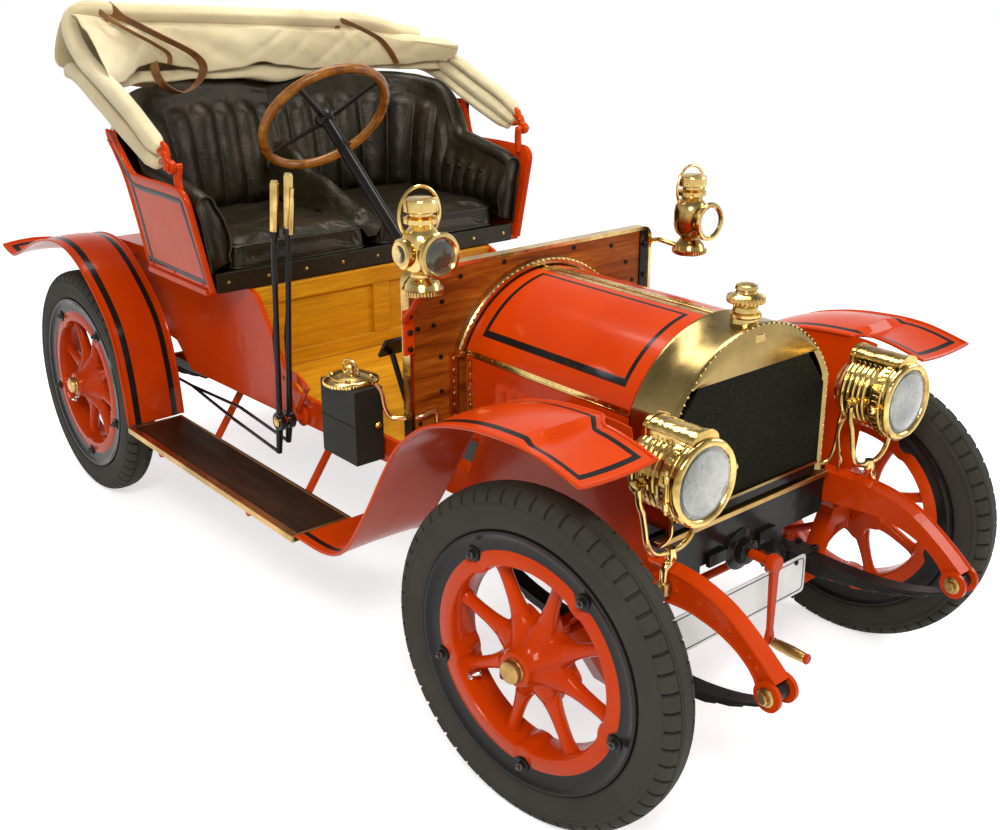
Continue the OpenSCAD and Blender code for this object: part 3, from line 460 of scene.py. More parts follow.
def honeycomb():
    """The radiator's dark core: fine cells in rows, black enamelled, slightly dusty; each cell is painted
    darker in its middle as the shade inside its opening.
    """
    k = Look("radiator_cells", 0.5, Specular_IOR_Level=0.06)
    cells = k.node("ShaderNodeTexVoronoi", Vector=k.stretched((1, 0.02, 1)), Scale=150.0)
    cells.feature = "DISTANCE_TO_EDGE"
    # Mask is 1 at each cell's rim and 0 in its middle; the middles take the darker colour as painted shade
    # inside the cell openings.
    edge = k.ramp(cells.outputs["Distance"], [(0.04, 1.0), (0.16, 0.0)])
    k.colour(k.mix(edge, (0.006, 0.0065, 0.004), (0.019, 0.018, 0.011)))
    return k.bump(edge, 0.002)


def glass():
    k = Look("lens_glass", 0.03, Transmission_Weight=1.0, IOR=1.45)
    k.colour(k.ramp(k.noise(30.0, 3), [(0.3, (0.92, 0.94, 0.93)), (0.7, (0.98, 0.99, 0.98))]))
    return k.bump(k.noise(12.0, 1), 0.00015)


def plate_white():
    k = Look("plate_white", 0.4, Coat_Weight=0.5, Coat_Roughness=0.15)
    k.colour(k.ramp(k.noise(10.0, 5), [(0.3, (0.72, 0.71, 0.68)), (0.7, (0.82, 0.82, 0.80))]))
    return k.bump(k.noise(160.0, 3), 0.0001)


mat["rubber"] = rubber()
mat["leather"] = leather()
mat["canvas"] = canvas()
mat["strap"] = strap_leather()
mat["cells"] = honeycomb()
mat["glass"] = glass()
mat["plate"] = plate_white()
for made in list(mat):
    if isinstance(mat[made], Look):
        mat[made] = mat[made].mat


def finish_node(node, name):
    """A CAD node whose shape is right keeps it and gets this material."""
    o = frame["nodes"][node]
    o.data.materials.clear()
    o.data.materials.append(mat[name])


KEPT = {"frame_rails": "red", "cross_members": "black", "front_axle": "red", "rear_axle": "red",
        "engine": "cast", "drive_line": "cast", "exhaust": "cast", "bonnet_rod": "brass",
        "floor": "floor", "pedals": "black", "body_panels": "red", "board_brackets": "red",
        "steering_column": "black", "knuckle_right": "red", "knuckle_left": "red", "tie_rod": "red",
        "drop_arm": "black", "drag_link": "black"}
for node, name in KEPT.items():
    finish_node(node, name)


# ---------------------------------------------------------------- camera, floor and light


def make_camera():
    azimuth, elevation, roll = radians(-41.69), radians(18.216), radians(0.453)
    back = Vector((sin(azimuth) * cos(elevation), -cos(azimuth) * cos(elevation), sin(elevation)))
    right = (-back).cross(CAR_Z).normalized()
    up = right.cross(-back)
    right, up = right * cos(roll) + up * sin(roll), up * cos(roll) - right * sin(roll)
    data = bpy.data.cameras.new("camera")
    data.sensor_width, data.lens = 36.0, 43.72
    data.shift_x, data.shift_y = -0.0406, -0.0595
    data.clip_start, data.clip_end = 0.05, 100
    camera = bpy.data.objects.new("camera", data)
    bpy.context.scene.collection.objects.link(camera)
    camera.matrix_world = Matrix(((right.x, up.x, back.x, -2.0352), (right.y, up.y, back.y, -2.8146),
                                  (right.z, up.z, back.z, 1.7548), (0, 0, 0, 1)))
    bpy.context.scene.camera = camera


def seen_directly(k):
    """1 for camera, glossy and transmission rays, 0 for the soft light that falls on the car."""
    path = k.node("ShaderNodeLightPath")
    either = k.node("ShaderNodeMath")
    either.operation = "MAXIMUM"
    k.tree.links.new(path.outputs["Is Camera Ray"], either.inputs[0])
    k.tree.links.new(path.outputs["Is Glossy Ray"], either.inputs[1])
    any_of = k.node("ShaderNodeMath")
    any_of.operation = "MAXIMUM"
    k.tree.links.new(either.outputs[0], any_of.inputs[0])
    k.tree.links.new(path.outputs["Is Transmission Ray"], any_of.inputs[1])
    return any_of.outputs[0]


def make_floor():
    k = Look("floor_white", 0.6)
    k.colour(k.ramp(k.noise(2.0, 2), [(0.3, (0.78, 0.78, 0.78)), (0.7, (0.8, 0.8, 0.8))]))
    lift = k.node("ShaderNodeMath", Value=seen_directly(k))
    lift.operation = "MULTIPLY"
    lift.inputs[1].default_value = 0.62
    k.set("Emission Color", (1, 1, 1, 1))
    k.tree.links.new(lift.outputs[0], k.shader.inputs["Emission Strength"])
    k.set("Specular IOR Level", 0.0)
    floor = Shape().add(([(-30, -30, 0), (30, -30, 0), (30, 30, 0), (-30, 30, 0)], [[0, 1, 2, 3]]))
    piece("studio_floor", floor, k.mat, None)


def make_world():
    world = bpy.data.worlds.new("studio")
    bpy.context.scene.world = world
    world.use_nodes = True
    tree = world.node_tree
    tree.nodes.clear()
    k = Look.__new__(Look)
    k.tree = tree
    out = tree.nodes.new("ShaderNodeOutputWorld")
    soft = k.node("ShaderNodeBackground", Color=(1.0, 0.99, 0.97, 1), Strength=0.55)
    heading = k.node("ShaderNodeSeparateXYZ",
                     Vector=k.node("ShaderNodeTexCoord").outputs["Generated"]).outputs["Z"]
    height = k.node("ShaderNodeMapRange", Value=heading)
    for socket, value in (("From Min", 0.12), ("From Max", 0.75), ("To Min", 1.0), ("To Max", 0.25)):
        height.inputs[socket].default_value = value
    white = k.node("ShaderNodeBackground", Color=(1, 1, 1, 1), Strength=height.outputs[0])
    both = k.node("ShaderNodeMixShader", Fac=seen_directly(k))
    tree.links.new(soft.outputs[0], both.inputs[1])
    tree.links.new(white.outputs[0], both.inputs[2])
    tree.links.new(both.outputs[0], out.inputs["Surface"])


def make_lamp(name, place, aim, size, power):
    data = bpy.data.lights.new(name, "AREA")
    data.shape = "RECTANGLE"
    data.size, data.size_y, data.energy = size[0], size[1], power
    lamp = bpy.data.objects.new(name, data)
    bpy.context.scene.collection.objects.link(lamp)
    lamp.location = place
    lamp.rotation_mode = "QUATERNION"
    lamp.rotation_quaternion = (Vector(aim) - Vector(place)).to_track_quat("-Z", "Y")


make_camera()
make_floor()
make_world()
make_lamp("key", (-2.6, -3.2, 3.6), (0, -0.2, 0.6), (1.6, 1.0), 130)
make_lamp("top", (0.4, 0.3, 4.2), (0, 0, 0.5), (3.2, 1.2), 110)
make_lamp("fill", (3.4, -2.4, 2.4), (0, 0, 0.7), (1.4, 1.4), 45)
bpy.context.scene.view_settings.view_transform = "Standard"

# ---------------------------------------------------------------- wheels and tyres

TYRE_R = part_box("tyre_rear_right")[1].z - AXLE_Z
TYRE_DEPTH, RIM_DEPTH, FELLOE_DEPTH = 0.087, 0.044, 0.038
RIM_R = TYRE_R - TYRE_DEPTH
FELLOE_R = RIM_R - RIM_DEPTH
FELLOE_IN = FELLOE_R - FELLOE_DEPTH
TREAD_BLOCKS = 58
SPOKES, SPOKE_TURN = 8, 27.0
RIM_BOLTS, BOLT_TURN = 5, 125.0
HUB_TIP = 0.091


def turned(section, sides):
    """A closed section of (radius, height) carried round the local z axis."""
    return loft([[(r * cos(a), r * sin(a), z) for r, z in section]
                 for a in np.linspace(0, 2 * pi, sides, endpoint=False)], loop=True)


def from_bolt(a):
    """Angle in degrees from the nearest rim bolt."""
    pitch = 360 / RIM_BOLTS
    return abs((a * 180 / pi - BOLT_TURN + pitch / 2) % pitch - pitch / 2)


def felloe():
    rings = []
    for a in np.linspace(0, 2 * pi, 240, endpoint=False):
        bite = exp(-(from_bolt(a) / 4.6) ** 4)
        ro, ri = FELLOE_R - 0.017 * bite, FELLOE_IN - 0.006 * bite
        section = [(ri, -0.034), (ri, 0.034), (ri + 0.004, 0.0392), (ro - 0.003, 0.0392),
                   (ro, 0.037), (ro, -0.037), (ro - 0.003, -0.0392), (ri + 0.004, -0.0392)]
        rings.append([(r * cos(a), r * sin(a), z) for r, z in section])
    return loft(rings, loop=True)


def hub():
    """Domed star between the spokes, rising to the neck of the cap."""
    rows = [(-0.030, 0.080, 0.006), (-0.026, 0.094, 0.012), (0.006, 0.098, 0.014),
            (0.016, 0.092, 0.014), (0.024, 0.078, 0.010), (0.033, 0.062, 0.005),
            (0.044, 0.049, 0.002), (0.056, 0.042, 0.0), (0.068, 0.038, 0.0), (0.070, 0.034, 0.0),
            (0.070, 0.018, 0.0)]
    rings = []
    for z, r, wave in rows:
        rings.append([((r + wave * cos(SPOKES * (a - radians(SPOKE_TURN)))) * cos(a),
                       (r + wave * cos(SPOKES * (a - radians(SPOKE_TURN)))) * sin(a), z)
                      for a in np.linspace(0, 2 * pi, 96, endpoint=False)])
    return loft(rings)


def spoke(a):
    rows = [(0.066, 0.027, 0.021), (0.094, 0.024, 0.020), (0.112, 0.0185, 0.0180),
            (0.134, 0.0150, 0.0165), (0.165, 0.0135, 0.0155), (0.188, 0.0140, 0.0155),
            (0.200, 0.0165, 0.0165), (0.212, 0.0215, 0.0190)]
    rings = []
    for r, wide, deep in rows:
        rings.append([(r * cos(a) - wide * cos(q) * sin(a), r * sin(a) + wide * cos(q) * cos(a),
                       deep * sin(q)) for q in np.linspace(0, 2 * pi, 16, endpoint=False)])
    return loft(rings)


def tyre():
    """Smooth side walls with a raised ring, square shoulder blocks and three plain ribs."""
    flank = [(0.2885, 0.0385), (0.293, 0.0435), (0.302, 0.0462), (0.316, 0.0474), (0.331, 0.0472),
             (0.3395, 0.0462), (0.3415, 0.0474), (0.3445, 0.0470), (0.3465, 0.0448),
             (0.350, 0.0436)]
    blocks = [(0.3515, 0.0432), (0.3585, 0.0405), (0.3650, 0.0362), (0.3698, 0.0305),
              (0.3728, 0.0240), (0.3742, 0.0190)]
    crown = [(0.3712, 0.0178), (0.3755, 0.0166), (0.3763, 0.0120), (0.3735, 0.0110),
             (0.3737, 0.0090), (0.3766, 0.0112), (0.3768, 0.0)]
    half = [(p, 0) for p in flank] + [(p, 1) for p in blocks] + [(p, 0) for p in crown]
    section = half + [((r, -z), b) for (r, z), b in reversed(half[:-1])]
    pitch, rings = 2 * pi / TREAD_BLOCKS, []
    for k in range(TREAD_BLOCKS):
        for step, raised in ((0.0, 0), (0.10, 0), (0.145, 1), (0.55, 1), (0.955, 1)):
            a = (k + step) * pitch
            out, side = (0.0008, 0.0016) if raised else (-0.0048, -0.0034)
            rings.append([((r + out * b) * cos(a), (r + out * b) * sin(a), z + side * b * np.sign(z))
                          for (r, z), b in section])
    return loft(rings, loop=True)


def road_wheel(name, side):
    body, joint = "road_wheel_" + name, joints["wheel_" + name + "_spin"]
    axis = Vector(joint["axis"])
    axis = axis if axis.x * side > 0 else -axis
    at = axes(middle("tyre_" + name), axis, CAR_Y * side)
    made = piece("tyre_" + name + "_rubber", Shape().add(tyre(), at=at), mat["rubber"], body,
                 angle=50)
    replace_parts(made, "tyre_" + name)
    wood = Shape().add(felloe(), at=at).add(hub(), at=at)
    for k in range(SPOKES):
        wood.add(spoke(radians(SPOKE_TURN) + 2 * pi * k / SPOKES), at=at)
    wood.add(lathe([(0.046, -0.033), (0.046, -0.02)]), at=at)
    if "rear" in name:
        wood.add(lathe([(0.112, -0.078), (0.120, -0.072), (0.120, -0.034), (0.110, -0.030),
                        (0.05, -0.028)], 64), at=at)
    made = piece("wheel_" + name + "_wood", wood, mat["red"], body, angle=38)
    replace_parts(made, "wheel_" + name)
    steel = Shape().add(turned([(0.222, 0.036), (0.252, 0.0384), (0.266, 0.0380), (0.273, 0.0405),
                                (0.281, 0.0452), (0.2868, 0.0452), (0.2885, 0.0420), (0.2885, -0.0420),
                                (0.2868, -0.0452), (0.281, -0.0452), (0.273, -0.0405), (0.266, -0.0380),
                                (0.252, -0.0384), (0.222, -0.036)], 120), at=at)
    for k in range(RIM_BOLTS):
        a = radians(BOLT_TURN - 360 / RIM_BOLTS * k)
        spot = Matrix.Translation((0.2475 * cos(a), 0.2475 * sin(a), 0.0375))
        steel.add(lathe([(0.0175, 0), (0.0175, 0.003), (0.014, 0.005)], 20), at=at @ spot)
    piece("rim_" + name, steel, mat["black"], body, angle=30)
    small = Shape()
    for k in range(RIM_BOLTS):
        a = radians(BOLT_TURN - 360 / RIM_BOLTS * k)
        spot = Matrix.Translation((0.2475 * cos(a), 0.2475 * sin(a), 0.042))
        small.add(lathe([(0.0095, 0), (0.0095, 0.007), (0.0075, 0.009)], 6), at=at @ spot)
        small.add(lathe([(0.005, 0.009), (0.0045, 0.014), (0.002, 0.015)], 12), at=at @ spot)
    piece("rim_nuts_" + name, small, mat["cast"], body, angle=30)
    cap = Shape().add(lathe([(0.020, 0.068), (0.0262, 0.070), (0.0272, 0.073), (0.0258, 0.076),
                             (0.0262, 0.080), (0.0240, 0.0865), (0.0185, 0.0895), (0.010, 0.0905),
                             (0.002, HUB_TIP - 0.0002)], 48), at=at)
    piece("hub_cap_" + name, cap, mat["brass_dull"], body, angle=28)
    a = radians(213)
    foot = Vector((0.211 * cos(a), 0.211 * sin(a), 0.018))
    valve = Shape().add(lathe([(0.0085, 0), (0.0085, 0.004), (0.0045, 0.006), (0.0042, 0.020),
                               (0.0062, 0.021), (0.0062, 0.033), (0.003, 0.036)], 20),
                        at=at @ axes(foot, -foot.normalized(), CAR_Z))
    piece("valve_" + name, valve, mat["steel"], body, angle=30)


for place_name, x_side in (("front_right", -1), ("front_left", 1), ("rear_right", -1), ("rear_left", 1)):
    road_wheel(place_name, x_side)


# ---------------------------------------------------------------- fenders and running boards


def resample(line, places):
    """Points of a polyline at the given lengths from its start."""
    p = np.array(line, float)
    run = np.concatenate([[0], np.cumsum(np.linalg.norm(np.diff(p, axis=0), axis=1))])
    return [tuple(np.interp(s, run, p[:, i]) for i in range(p.shape[1])) for s in places], run[-1]


def lined_panel(at, width, length, across, down, line, inset, thick, mats=(0, 1), ends=(1, 1), edges=(1, 1)):
    """A sheet over (u, v) in metres with black lines painted inset from its edges.

    at(u, v) gives the place; u runs to length, v to width.
    """
    def stops(total, low_end, high_end, n):
        s = list(np.linspace(0, total, n))
        marks = (inset, inset + line, total - inset, total - inset - line)
        keep = [q for q in s if all(abs(q - c) > line * 0.6 for c in marks)]
        keep += [inset, inset + line] if low_end else []
        keep += [total - inset - line, total - inset] if high_end else []
        return sorted(set([0, total] + keep))

    us, vs = stops(length, ends[0], ends[1], down), stops(width, edges[0], edges[1], across)
    grid = [[at(u, v) for v in vs] for u in us]
    painted = []
    for i in range(len(us) - 1):
        for j in range(len(vs) - 1):
            u, v = (us[i] + us[i + 1]) / 2, (vs[j] + vs[j + 1]) / 2
            gaps = [u if ends[0] else 9, length - u if ends[1] else 9, v if edges[0] else 9,
                    width - v if edges[1] else 9]
            near = min(gaps)
            painted.append(mats[1] if inset < near < inset + line else mats[0])
    made = slab(grid, thick)
    under = len(made[1]) - len(painted)
    return made, painted + [mats[0]] * under


FENDER_OUT, FENDER_T = 0.650, 0.003
FRONT_FENDER = [(0.826, -0.020), (0.690, -0.014), (0.598, 0.030), (0.504, 0.156), (0.416, 0.297),
                (0.355, 0.376), (0.263, 0.443), (0.144, 0.481), (0.018, 0.498), (-0.098, 0.498),
                (-0.214, 0.474)]
REAR_FENDER = [(-0.424, -0.022), (-0.400, 0.137), (-0.346, 0.280), (-0.221, 0.398), (-0.091, 0.468),
               (0.051, 0.483), (0.227, 0.446), (0.410, 0.373), (0.470, 0.366), (0.543, 0.383)]


def front_fender(name, side):
    curve = smooth(FRONT_FENDER, 10)
    length = resample(curve, [0])[1]

    def inner(y):
        return along([(-0.075, 0.458), (-0.025, 0.420)], y) if y < -0.025 else 0.420

    def at(u, v):
        (y, z), = resample(curve, [u])[0]
        x0, x1 = inner(y), along([(-0.214, 0.658), (0.2, FENDER_OUT)], y)
        t = v / 0.23
        crown = 0.012 * (1 - (2 * t - 1) ** 2) * along([(-0.214, 0.6), (0.1, 1.0), (0.5, 0.4), (0.8, 0.0)], y)
        (ya, za), (yb, zb) = resample(curve, [max(u - 0.004, 0), min(u + 0.004, length)])[0]
        n = Vector((0, -(zb - za), yb - ya)).normalized()
        n = n if n.z > 0 or n.y > 0 else -n
        return front(side * (x0 + (x1 - x0) * t), y + n.y * crown, z + n.z * crown)

    made, painted = lined_panel(at, 0.23, length, 12, 76, 0.014, 0.021, side * FENDER_T, ends=(0, 1))
    sheet = Shape().add(made, painted)
    o = piece("front_fender_" + name, sheet, (mat["red"], mat["black"]), "chassis", angle=40)
    rows = np.linspace(0, length, 90)
    bead = Shape()
    inner_edge = [at(u, 0) for u in rows]
    tip = [at(length, v) for v in np.linspace(0.02, 0.21, 6)]
    outer_edge = [at(u, 0.23) for u in rows[::-1]]
    loop = inner_edge + tip + outer_edge
    bead.add(tube(loop, 0.0045, 8))
    foot = 0.163
    columns = []
    for y, z in curve:
        if y > -0.112 and z > foot + 0.004:
            reach = [front(side * (0.357 + 0.066 * (q * (z - foot)) / 0.335), y, foot + q * (z - foot))
                     for q in np.linspace(0, 1, 6)]
            columns.append(reach)
    bead.add(slab(columns, 0.003))
    piece("front_fender_edge_" + name, bead, mat["red"], "chassis", angle=40)
    return o


def rear_fender(name, side):
    curve = smooth(REAR_FENDER, 10)
    length = resample(curve, [0])[1]
    inner, width = 0.470, FENDER_OUT - 0.470

    def at(u, v):
        (y, z), = resample(curve, [u])[0]
        crown = 0.009 * (1 - (2 * v / width - 1) ** 2)
        (ya, za), (yb, zb) = resample(curve, [max(u - 0.004, 0), min(u + 0.004, length)])[0]
        n = Vector((0, -(zb - za), yb - ya)).normalized()
        return rear(side * (inner + v), y + n.y * crown, z + n.z * crown)

    made, painted = lined_panel(at, width, length, 10, 84, 0.019, 0.020, -side * FENDER_T, ends=(0, 1))
    o = piece("rear_fender_" + name, Shape().add(made, painted), (mat["red"], mat["black"]), "chassis",
              angle=40)
    rows = np.linspace(0, length, 96)
    bead = Shape()
    inner_edge = [at(u, 0) for u in rows]
    tip = [at(length, v) for v in np.linspace(0.02, width - 0.02, 6)]
    outer_edge = [at(u, width) for u in rows[::-1]]
    loop = inner_edge + tip + outer_edge
    bead.add(tube(loop, 0.0045, 8))
    columns = []
    for y, z in curve:
        if y < 0.25 and z > 0.33:
            low = along([(-0.32, 0.325), (-0.21, 0.33), (-0.08, 0.385), (0.09, 0.40), (0.25, 0.40)], y)
            columns.append([rear(side * (inner + 0.002), y, low + q * (z - low))
                            for q in np.linspace(0, 1, 4)])
    bead.add(slab(columns, 0.003))
    bead.add(slab([[rear(side * x, y, 0.442 - 0.002 * cos((x - 0.44) * 100))
                    for y in np.linspace(-0.12, 0.06, 5)] for x in (0.442, 0.456, 0.472)], 0.004))
    piece("rear_fender_edge_" + name, bead, mat["red"], "chassis", angle=40)
    return o


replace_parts(front_fender("right", -1), "front_fenders")
front_fender("left", 1)
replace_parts(rear_fender("right", -1), "rear_fenders")
rear_fender("left", 1)


def running_board(name, side):
    y0, y1, x0, x1, top = 0.826, 1.805, 0.485, 0.663, -0.018
    near, far = sorted((side * (x0 + 0.004), side * (x1 - 0.004)))
    board = Shape().add(box((near, y0, top - 0.018), (far, y1, top - 0.001)),
                        at=Matrix.Translation(front(0, 0, 0)))
    o = piece("running_board_" + name, board, mat["step"], "chassis", bevel=0.002)
    trim = Shape()
    for x_at, wide in ((x1 - 0.011, 0.022), (x0 + 0.005, 0.010)):
        trim.add(bar(front(side * x_at, y0, top - 0.009), front(side * x_at, y1, top - 0.009), 0.0185, wide))
    for y_at in (y0 + 0.006, y1 - 0.006):
        trim.add(bar(front(side * (x0 + 0.01), y_at, top - 0.009),
                     front(side * (x1 - 0.02), y_at, top - 0.009), 0.0184, 0.010))
    piece("running_board_trim_" + name, trim, mat["brass_dull"], "chassis", bevel=0.002, segments=2)
    pins = heads([front(side * (x1 - 0.011), y, top - 0.0005)
                  for y in np.linspace(y0 + 0.03, y1 - 0.03, 12)], CAR_Z, 0.0032, 0.0012, 12)
    piece("running_board_pins_" + name, Shape().add(pins), mat["brass"], "chassis")
    return o


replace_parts(running_board("right", -1), "running_boards")
running_board("left", 1)

# ---------------------------------------------------------------- bonnet and radiator

ARCH_R, ARCH_Z = 0.286, 0.331
BONNET_Y0, BONNET_Y1 = 0.050, 0.6155
SIDE_X, SIDE_TOP, SIDE_LOW = 0.262, 0.434, 0.210


def bonnet_half(name, side):
    turn = acos(SIDE_X / ARCH_R)
    round_l = ARCH_R * (pi / 2 - turn - 0.020)
    flat_l = ARCH_Z + ARCH_R * sin(turn) - SIDE_TOP
    width, length = round_l + flat_l, BONNET_Y1 - BONNET_Y0

    def at(u, v):
        if v < round_l:
            a = pi / 2 - 0.020 - v / ARCH_R
            return front(side * ARCH_R * cos(a), BONNET_Y0 + u, ARCH_Z + ARCH_R * sin(a))
        return front(side * SIDE_X, BONNET_Y0 + u, SIDE_TOP + flat_l - (v - round_l))

    vs = sorted(list(np.linspace(0, width, 26)) + [0.036, 0.044, width - 0.076, width - 0.058])
    us = sorted(list(np.linspace(0, length, 14)) + [0.036, 0.048, length - 0.048, length - 0.036])
    grid = [[at(u, v) for v in vs] for u in us]
    made = slab(grid, -side * 0.0025)
    painted = []
    for i in range(len(us) - 1):
        for j in range(len(vs) - 1):
            u, v = (us[i] + us[i + 1]) / 2, (vs[j] + vs[j + 1]) / 2
            inside = 0.036 < u < length - 0.036 and 0.036 < v < width - 0.058
            hollow = 0.048 < u < length - 0.048 and 0.044 < v < width - 0.076
            painted.append(1 if inside and not hollow else 0)
    painted += [0] * (len(made[1]) - len(painted))
    body = "bonnet_top_" + name
    o = piece("bonnet_top_" + name + "_sheet", Shape().add(made, painted), (mat["red"], mat["black"]),
              body, angle=40)
    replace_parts(o, "bonnet_top_" + name)
    trim = Shape()
    z_rod = SIDE_TOP
    trim.add(tube([front(side * 0.2605, BONNET_Y0, z_rod), front(side * 0.2605, BONNET_Y1, z_rod)],
                  0.0028, 12))
    strip = [[at(u, v) + Vector((0, 0, 0.0006)) for v in np.linspace(0.004, 0.018, 4)]
             for u in np.linspace(0.002, length - 0.002, 8)]
    trim.add(slab(strip, 0.0006))
    trim.add(heads([at(u, 0.012) + Vector((0, 0, 0.0010)) for u in np.linspace(0.02, length - 0.02, 16)],
                   CAR_Z, 0.0028, 0.0009, 12))
    low_strip = [[at(u, v) + Vector((side * 0.0010, 0, 0))
                  for v in np.linspace(width - 0.014, width - 0.003, 3)]
                 for u in np.linspace(0.002, length - 0.002, 8)]
    trim.add(slab(low_strip, 0.001))
    trim.add(heads([at(u, width - 0.008) + Vector((side * 0.001, 0, 0))
                    for u in np.linspace(0.02, length - 0.02, 14)], CAR_X * side, 0.0024, 0.0010, 12))
    piece("bonnet_top_" + name + "_trim", trim, mat["brass"], body, angle=30)


def bonnet_flank(name, side):
    body = "bonnet_side_" + name
    high = SIDE_TOP - 0.0032
    louvres = [BONNET_Y1 - 0.145 - 0.045 * k for k in range(4)]

    def at(y, z):
        push = 0.0
        for y0 in louvres:
            if 0 < y - y0 < 0.024 and 0.055 < z - SIDE_LOW < 0.180:
                ends = min((z - SIDE_LOW - 0.055) / 0.02, (0.180 - z + SIDE_LOW) / 0.02, 1)
                push = 0.009 * sqrt(max(ends, 0)) * ((y - y0) / 0.024) ** 0.6
        return front(side * (SIDE_X + push - 0.0006), y, z)

    across = (-0.0005, 0.001, 0.008, 0.016, 0.0235, 0.0245)
    along_z = (0.054, 0.056, 0.062, 0.075, 0.16, 0.173, 0.179, 0.181)
    ys = sorted(set(list(np.linspace(BONNET_Y0, BONNET_Y1, 10)) + [y0 + d for y0 in louvres for d in across]))
    zs = sorted(set(list(np.linspace(SIDE_LOW, high, 8)) + [SIDE_LOW + d for d in along_z]))
    o = piece("bonnet_side_" + name + "_sheet",
              Shape().add(slab([[at(y, z) for z in zs] for y in ys], 0.0022)), mat["red"], body,
              angle=30)
    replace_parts(o, "bonnet_side_" + name)
    trim = Shape()
    trim.add(bar(front(side * (SIDE_X + 0.0006), BONNET_Y1 - 0.014, SIDE_LOW),
                 front(side * (SIDE_X + 0.0006), BONNET_Y1 - 0.014, high - 0.004), 0.0022, 0.020, CAR_X))
    trim.add(heads([front(side * (SIDE_X + 0.0016), BONNET_Y1 - 0.014, z)
                    for z in np.linspace(SIDE_LOW + 0.012, high - 0.016, 8)], CAR_X * side, 0.0026,
                   0.0012, 12))
    trim.add(bar(front(side * (SIDE_X + 0.0006), BONNET_Y0 + 0.004, SIDE_LOW + 0.006),
                 front(side * (SIDE_X + 0.0006), BONNET_Y1 - 0.004, SIDE_LOW + 0.006), 0.002, 0.012,
                 CAR_X))
    piece("bonnet_side_" + name + "_trim", trim, mat["brass"], body, angle=30)
    catch = Shape().add(box((side * 0.262 - 0.006, BONNET_Y0 + 0.012, SIDE_LOW + 0.02),
                            (side * 0.262 + 0.006, BONNET_Y0 + 0.036, SIDE_LOW + 0.06)),
                        at=Matrix.Translation(front(0, 0, 0)))
    catch.add(tube([front(side * 0.268, BONNET_Y0 + 0.024, SIDE_LOW + z) for z in (0.03, 0.075, 0.09)],
                   0.003, 10))
    piece("bonnet_catch_" + name, catch, mat["black"], body, bevel=0.0015)


for word, x_side in SIDES.items():
    bonnet_half(word, x_side)
    bonnet_flank(word, x_side)


def arch_outline(r, half, low, n=40):
    """Half-round arch over straight sides, from the right foot to the left foot, as (x, z)."""
    turn = acos(min(half / r, 1))
    over = [(r * cos(a), 0.333 + r * sin(a)) for a in np.linspace(pi - turn, turn, n)]
    feet = np.linspace(low, 0.333 + r * sin(turn), 8)[:-1]
    return [(-half, z) for z in feet] + over + [(half, z) for z in feet[::-1]]


